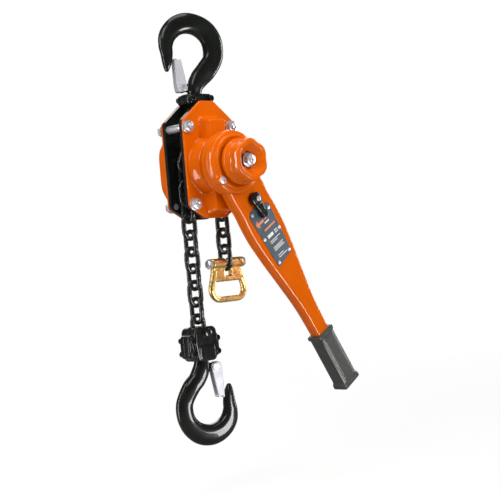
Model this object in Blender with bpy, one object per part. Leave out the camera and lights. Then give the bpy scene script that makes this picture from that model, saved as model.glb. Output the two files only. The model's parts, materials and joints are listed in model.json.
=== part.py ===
"""A lever chain hoist for 1.5 t class loads, hanging from its top hook, as separate named sub-parts.

The origin is the saddle of the top hook, +Z is up, -Y is the side of the lever and +X is to the right
of somebody who faces the lever. All lengths below are in millimetres and MM turns them into metres.
Most of the hoist is drawn round the hub, the common axis of the sheave, the brake and the lever.
"""

import math

import bmesh
import bpy
from mathutils import Matrix, Vector

MM = 0.001
GAP = 0.3

# Chain: round links with a wire of 7 mm and a pitch of 21 mm, on a sheave of four pockets. The wire is
# drawn a little thin, so that links which bear on each other keep a gap, and the tail fall hangs a
# little further out, which keeps it clear of the sheave's first link.
PITCH = 21.0
WIRE = 6.8
LINK_WIDTH = 24.0
LINK_PLAY = 1.3
JOINED_PLAY = -2.3
POCKETS = 4
LINK_ANGLE = math.pi / POCKETS
JOINT_RADIUS = PITCH / (2 * math.sin(LINK_ANGLE / 2))
LINK_RADIUS = JOINT_RADIUS * math.cos(LINK_ANGLE / 2)
JOINED_LINKS = 4
TAIL_OUTSET = 0.35
LOAD_LINKS = 10
TAIL_LINKS = 6

# Heights of the hub, and of the yoke pin above it.
HUB_Z = -170.0
YOKE_PIN_Z = 72.0

# Side plates and the covers that are bolted over them. Each outline point is (x, z, corner radius).
PLATE_INNER = 14.0
PLATE_OUTER = 18.5
FLANGE_INNER = PLATE_OUTER + GAP
FLANGE_OUTER = 21.8
BODY_OUTLINE = (
    (-11, 82, 6), (11, 82, 6), (42, 57, 7), (42, -50, 7),
    (17, -65, 10), (-17, -65, 10), (-42, -50, 7), (-42, 57, 7),
)
TOP_STAY = (36.0, 49.0)
BOTTOM_STAY_Z = -51.0
STUD_PLACE = (34.0, -47.0)
STUD_RADIUS = 4.0
STUD_HOLE = 4.3
NUT_FLATS = 13.0
NUT_HEIGHT = 6.0
NUT_INNER = FLANGE_OUTER + GAP
DOME_RADIUS = 37.0
DOME_FRONT = -43.0
DOME_WALL = 2.5
COVER_BORE = 12.0
GEAR_BULGE = (
    (-19, 54, 12), (19, 54, 12), (38, 26, 14), (38, -26, 14),
    (19, -54, 12), (-19, -54, 12), (-38, -26, 14), (-38, 26, 14),
)
GEAR_COVER_BACK = 44.0
JOURNAL_RADIUS = 3.5
JOURNAL_HOLE = 3.8

# Sheave, gears and pinion shaft.
SHEAVE_HALF = 12.6
SLOT_HALF = 6.5
SLEEVE_RADIUS = 12.5
PLATE_BORE = 12.9
POCKET_APOTHEM = 20.6
POCKET_HALF = 18.5
TOOTH_RADIUS = 30.5
SHAFT_RADIUS = 6.0
SHAFT_BORE = 6.5
SPINDLE_RADIUS = 4.0
GEAR_MODULE = 1.5
BIG_TEETH = 27
SMALL_TEETH = 9
GEAR_CENTRES = GEAR_MODULE * (BIG_TEETH + SMALL_TEETH) / 2
LOAD_GEAR_Y = (20.0, 27.0)
SECOND_GEAR_Y = (28.5, 36.0)

# Brake, ratchet and pawls inside the front cover.
BRAKE_RADIUS = 20.0
RATCHET_RADIUS = 22.0
RATCHET_TEETH = 12
PAWL_PIVOT = (27.5, 8.0)
BRAKE_SLEEVE = 8.6
CHANGE_WHEEL_RADIUS = 23.0
CHANGE_TEETH = 16

# Lever: its outline is measured along it from the hub, as (distance, half width).
LEVER_ANGLE = math.radians(31)
LEVER_BACK = -45.0
LEVER_SPLIT = -53.0
LEVER_FRONT = -61.0
HEAD_RADIUS = 40.0
HEAD_FRONT = -69.0
LEVER_WALL = 2.5
ARM_WIDTHS = ((52, 28.5), (80, 29.5), (105, 29), (137, 25), (175, 19), (215, 13), (258, 11.5))
TANG_END = 333.0
TANG_HALF = (8.0, 4.0)
GRIP_RANGE = (259.5, 345.0)
SELECTOR_DISTANCE = 54.0
CASE_SCREWS = ((-27.0, -22.0), (27.0, 22.0))

# Hand knob at the front end of the shaft.
KNOB_BACK = -71.0
KNOB_FRONT = -96.0
KNOB_RADIUS = 26.0
KNOB_FLOOR = -82.0
WASHER_Y = -87.3

# Hooks: (u, w) in the hook's own plane, u towards the tip and w towards the shank.
BOWL_RADIUS = 21.0
BOWL_OFFSET = 4.0
HOOK_TURN = math.radians(-20)
COLLAR_RADIUS = 11.0
SHANK_RADIUS = 9.0
COLLAR_HEIGHT = 48.5
LATCH_TIP = (21.5, 10.0)
LATCH_LUG = 6.2
LATCH_PIN_RADIUS = 2.5
TOP_NECK = 7.0
LOAD_NECK = 10.0

# Chain anchor block over the load hook, and the ring on the other end of the chain.
ANCHOR_PIN_RADIUS = 3.6
PIN_CLEARANCE = 0.4
BLOCK_ABOVE_PIN = 8.0
BLOCK_BELOW_PIN = 35.0
BLOCK_HALF_DEPTH = 15.0
RING_BARREL_HALF = 25.0
RING_BARREL_RADIUS = 7.0
RING_WIRE = 4.0

FINISHES = {
    "orange_paint": ((0.84, 0.13, 0.005), 0.28, 0.0),
    "black_paint": ((0.012, 0.013, 0.012), 0.22, 0.3),
    "black_chain": ((0.015, 0.017, 0.015), 0.3, 0.5),
    "zinc": ((0.62, 0.63, 0.64), 0.32, 1.0),
    "steel": ((0.45, 0.45, 0.46), 0.35, 1.0),
    "friction": ((0.16, 0.11, 0.08), 0.85, 0.0),
    "grip_rubber": ((0.075, 0.08, 0.07), 0.75, 0.0),
    "brass": ((0.62, 0.42, 0.13), 0.3, 1.0),
    "label": ((0.05, 0.09, 0.13), 0.45, 0.0),
}


def clear_scene():
    for obj in list(bpy.data.objects):
        bpy.data.objects.remove(obj, do_unlink=True)


def make_finishes():
    made = {}
    for name, (colour, roughness, metallic) in FINISHES.items():
        material = bpy.data.materials.new(name)
        material.use_nodes = True
        shader = material.node_tree.nodes["Principled BSDF"]
        shader.inputs["Base Color"].default_value = (*colour, 1)
        shader.inputs["Roughness"].default_value = roughness
        shader.inputs["Metallic"].default_value = metallic
        made[name] = material
    return made


# ---------------------------------------------------------------- objects

def empty(name, place, parent=None, turn=0.0):
    """An empty at a place in millimetres, turned about Z."""
    obj = bpy.data.objects.new(name, None)
    bpy.context.collection.objects.link(obj)
    obj.parent = parent
    obj.location = Vector(place) * MM
    obj.rotation_euler = (0, 0, turn)
    return obj


def solid(name, mesh, finish, parent):
    """A sub-part from a bmesh in millimetres."""
    bmesh.ops.recalc_face_normals(mesh, faces=mesh.faces)
    bmesh.ops.scale(mesh, vec=(MM, MM, MM), verts=mesh.verts)
    data = bpy.data.meshes.new(name)
    mesh.to_mesh(data)
    mesh.free()
    data.shade_smooth()
    data.set_sharp_from_angle(angle=math.radians(35))
    obj = bpy.data.objects.new(name, data)
    bpy.context.collection.objects.link(obj)
    obj.parent = parent
    if finish:
        data.materials.append(MATERIALS[finish])
    return obj


def tool(name, mesh, parent):
    """A helper for a Boolean, which is no part of the hoist."""
    obj = solid(name + "_tool", mesh, None, parent)
    obj.hide_render = True
    obj.display_type = "WIRE"
    return obj


def combine(obj, operation, meshes):
    for number, mesh in enumerate(meshes):
        helper = tool(f"{obj.name}_{operation.lower()}_{number}", mesh, obj.parent)
        modifier = obj.modifiers.new(helper.name, "BOOLEAN")
        modifier.operation = operation
        modifier.solver = "EXACT"
        modifier.object = helper


def join(obj, *meshes):
    combine(obj, "UNION", meshes)


def cut(obj, *meshes):
    combine(obj, "DIFFERENCE", meshes)


# ---------------------------------------------------------------- shapes, in millimetres

def bridge(mesh, rings, closed=False):
    """Faces between rings of vertices, with flat ends unless the rings close on themselves."""
    pairs = list(zip(rings, rings[1:]))
    if closed:
        pairs.append((rings[-1], rings[0]))
    for low, high in pairs:
        for i in range(len(low)):
            j = (i + 1) % len(low)
            mesh.faces.new((low[i], low[j], high[j], high[i]))
    if not closed:
        mesh.faces.new(rings[0])
        mesh.faces.new(rings[-1])
    return mesh


def rounded(outline, steps=3):
    """The outline's points with each corner (x, z, radius) turned into an arc."""
    points = []
    for i, (x, z, radius) in enumerate(outline):
        corner = Vector((x, z))
        before = Vector(outline[i - 1][:2]) - corner
        after = Vector(outline[(i + 1) % len(outline)][:2]) - corner
        if not radius:
            points.append(corner)
            continue
        half = before.angle(after) / 2
        reach = min(radius / math.tan(half), 0.49 * before.length, 0.49 * after.length)
        start = corner + before.normalized() * reach
        end = corner + after.normalized() * reach
        for step in range(steps + 1):
            share = step / steps
            first = start.lerp(corner, share)
            points.append(first.lerp(corner.lerp(end, share), share))
    return [(point[0], point[1]) for point in points]


def circle(radius, segments=20, centre=(0, 0), phase=0.0):
    angles = [phase + 2 * math.pi * i / segments for i in range(segments)]
    return [(centre[0] + radius * math.cos(a), centre[1] + radius * math.sin(a)) for a in angles]


def prism(points, y0, y1):
    """An outline in X and Z, extruded along Y."""
    mesh = bmesh.new()
    rings = [[mesh.verts.new((x, y, z)) for x, z in points] for y in (y0, y1)]
    return bridge(mesh, rings)


def rod(radius, y0, y1, centre=(0, 0), segments=20):
    return prism(circle(radius, segments, centre), y0, y1)


def hexagon(flats, y0, y1, centre=(0, 0)):
    return prism(circle(flats / math.sqrt(3), 6, centre, math.pi / 6), y0, y1)


def turned(profile, segments=24, centre=(0, 0)):
    """A turned solid about Y, from (radius, y) pairs with no radius of zero."""
    mesh = bmesh.new()
    rings = []
    for radius, y in profile:
        rings.append([mesh.verts.new((x, y, z)) for x, z in circle(radius, segments, centre)])
    return bridge(mesh, rings)


def turned_ring(profile, segments=24):
    """A turned ring about Y, whose profile is a closed loop."""
    mesh = bmesh.new()
    rings = [[mesh.verts.new((x, y, z)) for x, z in circle(r, segments)] for r, y in profile]
    return bridge(mesh, rings, closed=True)


def upright(radius, z0, z1, segments=24):
    """A round bar about Z."""
    mesh = rod(radius, z0, z1, segments=segments)
    bmesh.ops.rotate(mesh, matrix=Matrix.Rotation(math.pi / 2, 3, "X"), verts=mesh.verts)
    return mesh


def crosswise(radius, x0, x1, segments=20):
    """A round bar about X."""
    mesh = rod(radius, -x1, -x0, segments=segments)
    bmesh.ops.rotate(mesh, matrix=Matrix.Rotation(math.pi / 2, 3, "Z"), verts=mesh.verts)
    return mesh


def block(low, high):
    mesh = bmesh.new()
    bmesh.ops.create_cube(mesh, size=1)
    low, high = Vector(low), Vector(high)
    for vert in mesh.verts:
        share = vert.co + Vector((0.5, 0.5, 0.5))
        vert.co = [low[i] + share[i] * (high[i] - low[i]) for i in range(3)]
    return mesh


def moved(mesh, place=(0, 0, 0), turn=0.0, axis="Z"):
    bmesh.ops.rotate(mesh, matrix=Matrix.Rotation(turn, 3, axis), verts=mesh.verts)
    bmesh.ops.translate(mesh, vec=place, verts=mesh.verts)
    return mesh


def swept(stations, segments=10, closed=False):
    """A bar along stations (x, z, half depth in the plane, half thickness along Y)."""
    mesh = bmesh.new()
    count = len(stations)
    rings = []
    for i, (x, z, depth, thick) in enumerate(stations):
        ahead = stations[(i + 1) % count] if closed else stations[min(i + 1, count - 1)]
        behind = stations[i - 1] if closed else stations[max(i - 1, 0)]
        along = Vector((ahead[0] - behind[0], ahead[1] - behind[1])).normalized()
        ring = []
        for a, b in circle(1, segments):
            offset = depth * a
            place = (x - along[1] * offset, thick * b, z + along[0] * offset)
            ring.append(mesh.verts.new(place))
        rings.append(ring)
    return bridge(mesh, rings, closed)


def gear_outline(teeth, module=GEAR_MODULE, phase=math.pi / 2):
    """Straight-flanked teeth, thin enough to run in mesh with clear backlash."""
    pitch_radius = module * teeth / 2
    pitch = 2 * math.pi / teeth
    root = pitch_radius - 1.15 * module
    tip = pitch_radius + 0.85 * module
    corners = ((-0.26, root), (-0.09, tip), (0.09, tip), (0.26, root))
    points = []
    for tooth in range(teeth):
        for share, radius in corners:
            angle = phase + (tooth + share) * pitch
            points.append((radius * math.cos(angle), radius * math.sin(angle)))
    return points


def ratchet_outline(teeth, radius, depth, lean):
    points = []
    for tooth in range(teeth):
        angle = 2 * math.pi * tooth / teeth
        points.append((radius * math.cos(angle), radius * math.sin(angle)))
        angle += 2 * math.pi * lean / teeth
        points.append(((radius - depth) * math.cos(angle), (radius - depth) * math.sin(angle)))
    return points


# ---------------------------------------------------------------- chain

def link_mesh(play=LINK_PLAY):
    """One round link in the XZ plane, long along Z."""
    bow = (LINK_WIDTH - WIRE) / 2
    straight = (PITCH + play + WIRE) / 2 - bow
    stations = []
    for side in (1, -1):
        for step in range(7):
            angle = math.pi * step / 6
            x = side * bow * math.cos(angle)
            z = side * (straight + bow * math.sin(angle))
            stations.append((x, z, WIRE / 2, WIRE / 2))
    return swept(stations, segments=6, closed=True)


def fall_link(number, flat, play=LINK_PLAY):
    """Link of a fall, counted down from the hub's height; a flat link lies across the plates."""
    turn = math.pi / 2 if flat else 0.0
    return moved(link_mesh(play), (0, 0, -PITCH * (number - 0.5)), turn)


def joined_play(number, count):
    """The middle links of a joined stretch are short enough to run into their neighbours."""
    return LINK_PLAY if number in (1, count) else JOINED_PLAY


def make_fall(name, links, first_flat, top, swing):
    """A fall: its upper links are joined, because they never leave each other's line."""
    upper = [fall_link(k, (k % 2 == 1) == first_flat, joined_play(k, JOINED_LINKS))
             for k in range(1, JOINED_LINKS + 1)]
    joined = solid(f"{name}_chain_upper", upper[0], "black_chain", top)
    join(joined, *upper[1:])
    for k in range(JOINED_LINKS + 1, links + 1):
        mesh = fall_link(k, (k % 2 == 1) == first_flat)
        moved(mesh, (0, 0, PITCH * JOINED_LINKS))
        solid(f"{name}_link_{k:02d}", mesh, "black_chain", swing)


def make_sheave_chain(hub):
    """The four links that lie over the sheave, joined; every second one lies flat in a pocket."""
    meshes = []
    for i in range(POCKETS):
        mesh = link_mesh(joined_play(i + 1, POCKETS))
        if i % 2 == 0:
            moved(mesh, turn=math.pi / 2)
        moved(mesh, (LINK_RADIUS, 0, 0))
        meshes.append(moved(mesh, turn=-(i + 0.5) * LINK_ANGLE, axis="Y"))
    chain = solid("sheave_chain", meshes[0], "black_chain", hub)
    join(chain, *meshes[1:])


# ---------------------------------------------------------------- frame

def both(place):
    return ((-place[0], place[1]), place)


def make_plates(hub):
    for name, side in (("front_side_plate", -1), ("rear_side_plate", 1)):
        y0, y1 = sorted((side * PLATE_INNER, side * PLATE_OUTER))
        plate = solid(name, prism(rounded(BODY_OUTLINE), y0, y1), "black_paint", hub)
        reach = (y0 - 5, y1 + 5)
        cut(plate, rod(PLATE_BORE, *reach))
        cut(plate, rod(5.3, *reach, (0, YOKE_PIN_Z), 16))
        for place in (*both(TOP_STAY), *both(STUD_PLACE), (0, BOTTOM_STAY_Z)):
            cut(plate, rod(STUD_HOLE, *reach, place, 12))
        if side < 0:
            for place in both(PAWL_PIVOT):
                join(plate, rod(2.5, -32, -PLATE_OUTER + 1, place, 12))
        else:
            for z in (GEAR_CENTRES, -GEAR_CENTRES):
                cut(plate, rod(JOURNAL_HOLE, *reach, (0, z), 12))


def make_stays(hub):
    """Stay bolts that space the side plates; the bottom one is riveted over in the rear plate."""
    front = [(3.2, -30.5), (STUD_RADIUS, -29.7), (STUD_RADIUS, -PLATE_INNER + GAP),
             (5.0, -PLATE_INNER + GAP), (5.0, PLATE_INNER - GAP), (STUD_RADIUS, PLATE_INNER - GAP)]
    nutted = [(STUD_RADIUS, 29.7), (3.2, 30.5)]
    riveted = [(STUD_RADIUS, PLATE_OUTER - GAP)]
    left, right = both(TOP_STAY)
    bottom = (0, BOTTOM_STAY_Z)
    for name, place, rear in (("stay_bolt_left", left, nutted), ("stay_bolt_right", right, nutted),
                              ("stay_bolt_bottom", bottom, riveted)):
        bolt = solid(name, turned(front + rear, 12, place), "zinc", hub)
        join(bolt, hexagon(NUT_FLATS, -NUT_INNER - NUT_HEIGHT, -NUT_INNER, place))
        if rear is nutted:
            join(bolt, hexagon(NUT_FLATS, NUT_INNER, NUT_INNER + NUT_HEIGHT, place))


def make_cover_studs(hub):
    """Short studs near the chain's path, which hold the covers without crossing the channel."""
    for side, end in ((-1, "front"), (1, "rear")):
        for place, hand in zip(both(STUD_PLACE), ("left", "right")):
            ends = [(STUD_RADIUS, 14.4), (STUD_RADIUS, 29.0), (3.2, 29.8)]
            stud = solid(f"cover_stud_{end}_{hand}",
                         turned([(r, side * y) for r, y in ends], 16, place), "zinc", hub)
            y0, y1 = sorted((side * NUT_INNER, side * (NUT_INNER + NUT_HEIGHT)))
            join(stud, hexagon(NUT_FLATS, y0, y1, place))


def make_brake_cover(hub):
    flange = prism(rounded(BODY_OUTLINE), -FLANGE_OUTER, -FLANGE_INNER)
    cover = solid("brake_cover", flange, "orange_paint", hub)
    outer = [(DOME_RADIUS + 1.5, -FLANGE_INNER - 1), (DOME_RADIUS + 1.5, -24), (DOME_RADIUS, -26),
             (DOME_RADIUS - 1, -38), (DOME_RADIUS - 5, DOME_FRONT)]
    inner = [(DOME_RADIUS - DOME_WALL - 1, -FLANGE_INNER + 5), (DOME_RADIUS - DOME_WALL - 1, -36),
             (DOME_RADIUS - DOME_WALL - 4, DOME_FRONT + DOME_WALL)]
    join(cover, turned(outer, 32))
    cut(cover, turned(inner, 24), rod(COVER_BORE, DOME_FRONT - 5, -20))
    for place in (*both(TOP_STAY), *both(STUD_PLACE), (0, BOTTOM_STAY_Z)):
        cut(cover, rod(STUD_HOLE, -40, -10, place, 12))


def inset(outline, distance):
    """The corners of an outline round the hub, moved in towards both axes."""
    return [(x - math.copysign(distance, x), z - math.copysign(distance, z), max(r - distance, 0))
            for x, z, r in outline]


def make_gear_cover(hub):
    flange = prism(rounded(BODY_OUTLINE), FLANGE_INNER, FLANGE_OUTER)
    cover = solid("gear_cover", flange, "orange_paint", hub)
    join(cover, prism(rounded(GEAR_BULGE, 6), FLANGE_INNER + 1, GEAR_COVER_BACK))
    cut(cover, prism(rounded(inset(GEAR_BULGE, DOME_WALL), 6), 10, GEAR_COVER_BACK - DOME_WALL))
    for z in (GEAR_CENTRES, 0, -GEAR_CENTRES):
        join(cover, rod(7, SECOND_GEAR_Y[1] + 1.2, GEAR_COVER_BACK - 1, (0, z), 16))
        cut(cover, rod(JOURNAL_HOLE, 30, GEAR_COVER_BACK - 2, (0, z), 12))
    for place in (*both(TOP_STAY), *both(STUD_PLACE), (0, BOTTOM_STAY_Z)):
        cut(cover, rod(STUD_HOLE, 10, GEAR_COVER_BACK - 15, place, 12))


def make_stripper(hub):
    outline = [(-9, -56, 4), (9, -56, 4), (10, -44, 3), (3.5, -24, 0), (2.5, -15.5, 0),
               (-2.5, -15.5, 0), (-3.5, -24, 0), (-10, -44, 3)]
    stripper = solid("chain_stripper", prism(rounded(outline), -4.5, 4.5), "steel", hub)
    cut(stripper, rod(5.3, -10, 10, (0, BOTTOM_STAY_Z), 16))


# ---------------------------------------------------------------- drive

def sheave_outline():
    points = []
    for pocket in range(POCKETS):
        angle = LINK_ANGLE / 2 + 2 * pocket * LINK_ANGLE
        along = Vector((-math.sin(angle), math.cos(angle)))
        floor = POCKET_APOTHEM * Vector((math.cos(angle), math.sin(angle)))
        points.append(floor - POCKET_HALF * along)
        points.append(floor + POCKET_HALF * along)
        for turn in (LINK_ANGLE - 0.07, LINK_ANGLE + 0.07):
            points.append(TOOTH_RADIUS * Vector((math.cos(angle + turn), math.sin(angle + turn))))
    return [(point[0], point[1]) for point in points]


def make_sheave(hub):
    core = turned([(SLEEVE_RADIUS, -18.3), (SLEEVE_RADIUS, 19.7)], 24)
    sheave = solid("load_sheave", core, "steel", hub)
    join(sheave, prism(sheave_outline(), -SHEAVE_HALF, -SLOT_HALF))
    join(sheave, prism(sheave_outline(), SLOT_HALF, SHEAVE_HALF))
    cut(sheave, rod(SHAFT_BORE, -25, 25, segments=16))


def make_gears(hub, upper, lower):
    load_gear = solid("load_gear", prism(gear_outline(BIG_TEETH), *LOAD_GEAR_Y), "steel", hub)
    cut(load_gear, rod(SHAFT_BORE, 10, 30, segments=16))
    for name, parent in (("intermediate_gear_upper", upper), ("intermediate_gear_lower", lower)):
        journal = turned([(JOURNAL_RADIUS, 14.6), (JOURNAL_RADIUS, 41.0)], 12)
        gear = solid(name, journal, "steel", parent)
        join(gear, prism(gear_outline(SMALL_TEETH), LOAD_GEAR_Y[0], SECOND_GEAR_Y[0] + 0.5))
        join(gear, prism(gear_outline(BIG_TEETH), *SECOND_GEAR_Y))


def make_shaft(hub):
    profile = [(JOURNAL_RADIUS, 41.0), (JOURNAL_RADIUS, SECOND_GEAR_Y[1]), (SHAFT_RADIUS - 1.2, 36.0),
               (SHAFT_RADIUS - 1.2, SECOND_GEAR_Y[0]), (SHAFT_RADIUS, SECOND_GEAR_Y[0] - 0.8),
               (SHAFT_RADIUS, -69.5), (SPINDLE_RADIUS, -69.5), (SPINDLE_RADIUS, -94.2),
               (SPINDLE_RADIUS - 0.8, -95.0)]
    shaft = solid("pinion_shaft", turned(profile, 16), "steel", hub)
    join(shaft, prism(gear_outline(SMALL_TEETH), *SECOND_GEAR_Y))


def make_brake(hub):
    profile = [(BRAKE_RADIUS, -19.6), (BRAKE_RADIUS, -22.6), (BRAKE_SLEEVE, -22.6), (BRAKE_SLEEVE, -32.4)]
    brake_hub = solid("brake_hub", turned(profile), "steel", hub)
    cut(brake_hub, rod(SHAFT_BORE, -40, -10, segments=16))
    for name, y in (("friction_disc_inner", -25.3), ("friction_disc_outer", -32.3)):
        ring = [(9.0, y), (BRAKE_RADIUS, y), (BRAKE_RADIUS, y + 2.4), (9.0, y + 2.4)]
        solid(name, turned_ring(ring), "friction", hub)
    teeth = ratchet_outline(RATCHET_TEETH, RATCHET_RADIUS, 3.0, 0.22)
    ratchet = solid("ratchet_disc", prism(teeth, -29.6, -25.6), "steel", hub)
    cut(ratchet, rod(9.0, -40, -10))


def make_pawls(left, right):
    for name, parent, side in (("brake_pawl_left", left, -1), ("brake_pawl_right", right, 1)):
        outline = [(3.6, 2.6, 2), (3.8, -2.0, 2), (-1.5, -9.2, 0.6), (-4.0, -6.0, 0.8), (-3.4, 2.8, 2)]
        points = rounded([(side * x, z, r) for x, z, r in outline], 3)
        pawl = solid(name, prism(points, -29.8, -25.4), "steel", parent)
        cut(pawl, rod(2.8, -40, -20, segments=12))


def make_change_gear(hub):
    profile = [(BRAKE_RADIUS, -32.8), (BRAKE_RADIUS, -36.4), (11.4, -36.4), (11.4, -50),
               (9.5, -50), (9.5, -68.9)]
    gear = solid("change_gear", turned(profile), "steel", hub)
    teeth = gear_outline(CHANGE_TEETH, CHANGE_WHEEL_RADIUS / (CHANGE_TEETH / 2 + 0.85))
    join(gear, prism(teeth, -58, -48))
    cut(gear, rod(SHAFT_BORE, -80, -20, segments=16))


# ---------------------------------------------------------------- lever

def along_lever(mesh):
    """Turns a mesh that was drawn with the lever along +X into the lever's true direction."""
    return moved(mesh, turn=math.pi / 2 - LEVER_ANGLE, axis="Y")


def lever_outline(inward=0.0):
    """The lever along +X: a round head that runs out into the tapered arm."""
    radius = HEAD_RADIUS - inward
    start = math.asin((ARM_WIDTHS[0][1] - inward) / radius)
    points = []
    for step in range(19):
        angle = start + (2 * math.pi - 2 * start) * step / 18
        points.append((radius * math.cos(angle), radius * math.sin(angle)))
    end = ARM_WIDTHS[-1][0] - inward
    lower = [(min(s, end), -(half - inward)) for s, half in ARM_WIDTHS]
    upper = [(s, -z) for s, z in reversed(lower)]
    return points + lower + upper


def make_lever_shells(hub):
    body = along_lever(prism(lever_outline(), LEVER_SPLIT + GAP / 2, LEVER_BACK))
    rear = solid("lever_rear_shell", body, "orange_paint", hub)
    cut(rear, along_lever(prism(lever_outline(LEVER_WALL), -60, LEVER_BACK - 2)))
    half, thick = TANG_HALF
    tang = block((250, LEVER_SPLIT - thick, -half), (TANG_END, LEVER_SPLIT + thick, half))
    join(rear, along_lever(tang))
    cut(rear, rod(12.0, -70, -30))
    body = along_lever(prism(lever_outline(), LEVER_FRONT, LEVER_SPLIT - GAP / 2))
    front = solid("lever_front_shell", body, "orange_paint", hub)
    dish = [(HEAD_RADIUS - 1, -58), (HEAD_RADIUS - 2.5, -64), (34, -65), (32, HEAD_FRONT)]
    join(front, turned(dish, 32))
    cut(front, along_lever(prism(lever_outline(LEVER_WALL), LEVER_FRONT + 2, -50)))
    cut(front, turned([(31, -50), (29, HEAD_FRONT + 2)]), rod(10.2, -80, -50))
    room = block((240, -58, -8.5), (270, -50, 8.5))
    cut(front, along_lever(room))
    cut(front, along_lever(rod(4.4, -80, -50, (SELECTOR_DISTANCE, 0), 12)))


def make_case_screws(hub):
    for number, place in enumerate(CASE_SCREWS, 1):
        profile = [(2.4, HEAD_FRONT - 2.2), (4.2, HEAD_FRONT - 1.6), (4.6, HEAD_FRONT - GAP)]
        screw = turned(profile, 16, place)
        solid(f"lever_case_screw_{number}", screw, "zinc", hub)


def grip_stations():
    """Half width and half thickness along the grip, with a flared rim at each end."""
    low, high = GRIP_RANGE
    shape = ((0, 13.5, 10), (1.5, 16, 11.5), (5, 16, 11.5), (8, 14.2, 10), (74, 14.6, 10),
             (79, 17, 11.5), (83, 17, 11.5), (high - low, 15, 10))
    return [(low + s, 0, half, thick) for s, half, thick in shape]


def make_grip(hub):
    sleeve = moved(swept(grip_stations(), 20), (0, LEVER_SPLIT, 0))
    grip = solid("lever_grip", along_lever(sleeve), "grip_rubber", hub)
    half, thick = TANG_HALF[0] + GAP, TANG_HALF[1] + GAP
    socket = block((200, LEVER_SPLIT - thick, -half), (TANG_END + GAP, LEVER_SPLIT + thick, half))
    cut(grip, along_lever(socket))


def make_name_plate(hub):
    outline = [(64.5, -14, 3), (64.5, 6, 10), (73, 20, 6), (142, 16, 4), (146, -16, 4), (69, -20, 5)]
    plate = along_lever(prism(rounded(outline, 3), LEVER_FRONT - 1.5, LEVER_FRONT - GAP))
    label = solid("name_plate", plate, "label", hub)
    for place in ((70, -15), (75, 15), (105, -16.5), (106, 15.5), (141, -12), (138, 12)):
        rivet = [(1.4, LEVER_FRONT - 2.6), (2.6, LEVER_FRONT - 2.1), (2.6, LEVER_FRONT - 1)]
        join(label, along_lever(turned(rivet, 10, place)))


def make_selector(pivot):
    """The change lever on the arm, with the double-nosed drive pawl on the inner end of its pin."""
    profile = [(3.4, -72.5), (4.2, -71.5), (4.2, -69.5), (8.5, -69), (8.5, -61.5), (4.0, -61.5),
               (4.0, -57.3)]
    selector = solid("selector_lever", turned(profile, 20), "black_paint", pivot)
    arm = rounded([(0, -5.5, 0), (0, 5.5, 0), (26, 4.5, 3), (26, -4.5, 3)], 3)
    join(selector, along_lever(prism(arm, -68.5, -64)))
    nose = rounded([(8, -7, 3), (8, 7, 3), (-12, 10, 2), (-24, 8, 1), (-19, 0, 4), (-24, -8, 1),
                    (-12, -10, 2)], 3)
    solid("drive_pawl", along_lever(prism(nose, -56.9, -49)), "steel", pivot)


# ---------------------------------------------------------------- knob

def make_knob(knob, hub):
    profile = [(4.5, KNOB_BACK), (28, KNOB_BACK), (29, KNOB_BACK - 2), (29, KNOB_BACK - 6),
               (KNOB_RADIUS, KNOB_BACK - 9), (KNOB_RADIUS, KNOB_FRONT + 2), (KNOB_RADIUS - 2, KNOB_FRONT),
               (18, KNOB_FRONT), (10.5, KNOB_FRONT + 8), (10.5, KNOB_FLOOR), (4.5, KNOB_FLOOR)]
    solid("hand_knob", turned_ring(profile, 30), "orange_paint", knob)
    profile = [(9, WASHER_Y), (9, WASHER_Y - 1.5), (4.0 + GAP, WASHER_Y - 1.5), (4.0 + GAP, WASHER_Y)]
    nut = solid("shaft_nut", turned_ring(profile, 20), "zinc", hub)
    collar = hexagon(13, WASHER_Y - 7, WASHER_Y - 1)
    join(nut, collar)
    cut(nut, rod(4.0 + GAP, WASHER_Y - 10, WASHER_Y + 2, segments=20))


def make_knob_spring(hub):
    """A coil about Y between the knob's floor and the washer."""
    radius, wire, turns, steps = 7.2, 0.7, 2.5, 10
    start, end = KNOB_FLOOR - GAP - wire, WASHER_Y + GAP + wire
    data = bpy.data.curves.new("knob_spring", "CURVE")
    data.dimensions = "3D"
    data.bevel_depth = wire * MM
    data.bevel_resolution = 1
    data.use_fill_caps = True
    spline = data.splines.new("POLY")
    count = int(turns * steps) + 1
    spline.points.add(count - 1)
    for i, point in enumerate(spline.points):
        angle = 2 * math.pi * i / steps
        y = start + (end - start) * i / (count - 1)
        point.co = (radius * math.cos(angle) * MM, y * MM, radius * math.sin(angle) * MM, 1)
    data.materials.append(MATERIALS["steel"])
    obj = bpy.data.objects.new("knob_spring", data)
    bpy.context.collection.objects.link(obj)
    obj.parent = hub


# ---------------------------------------------------------------- hooks

def hook_stations(neck):
    """The hook's centre line: round the bowl from the tip to the back, then over to the shank."""
    stations = [(BOWL_OFFSET + 31.2, 24.5, 2.2, 3.4), (BOWL_OFFSET + 30.6, 20, 4.6, 5.6),
                (BOWL_OFFSET + 29.6, 13, 6.2, 6.6)]
    depths = ((8, 7.6), (-12, 9), (-35, 11), (-60, 12.6), (-85, 13.6), (-110, 13.6), (-135, 12.6),
              (-160, 11.6), (-185, 11.2), (-205, 11))
    for degrees, depth in depths:
        angle = math.radians(degrees)
        reach = BOWL_RADIUS + depth
        thick = min(10, 6.6 + 0.42 * (depth - 6))
        stations.append((BOWL_OFFSET + reach * math.cos(angle), reach * math.sin(angle), depth, thick))
    rise = (49 + neck - 22) / 3
    stations += [(-14, 22 + rise * 0.7, 11, 10), (-4.5, 22 + rise * 1.6, 10.6, 10),
                 (-0.5, 22 + rise * 2.4, 10.2, 10), (0, 49 + neck, SHANK_RADIUS, SHANK_RADIUS),
                 (0, 56 + neck, SHANK_RADIUS, SHANK_RADIUS)]
    return stations


def latch_pivot(neck):
    return (16.0, 42.0 + 0.8 * neck)


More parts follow.
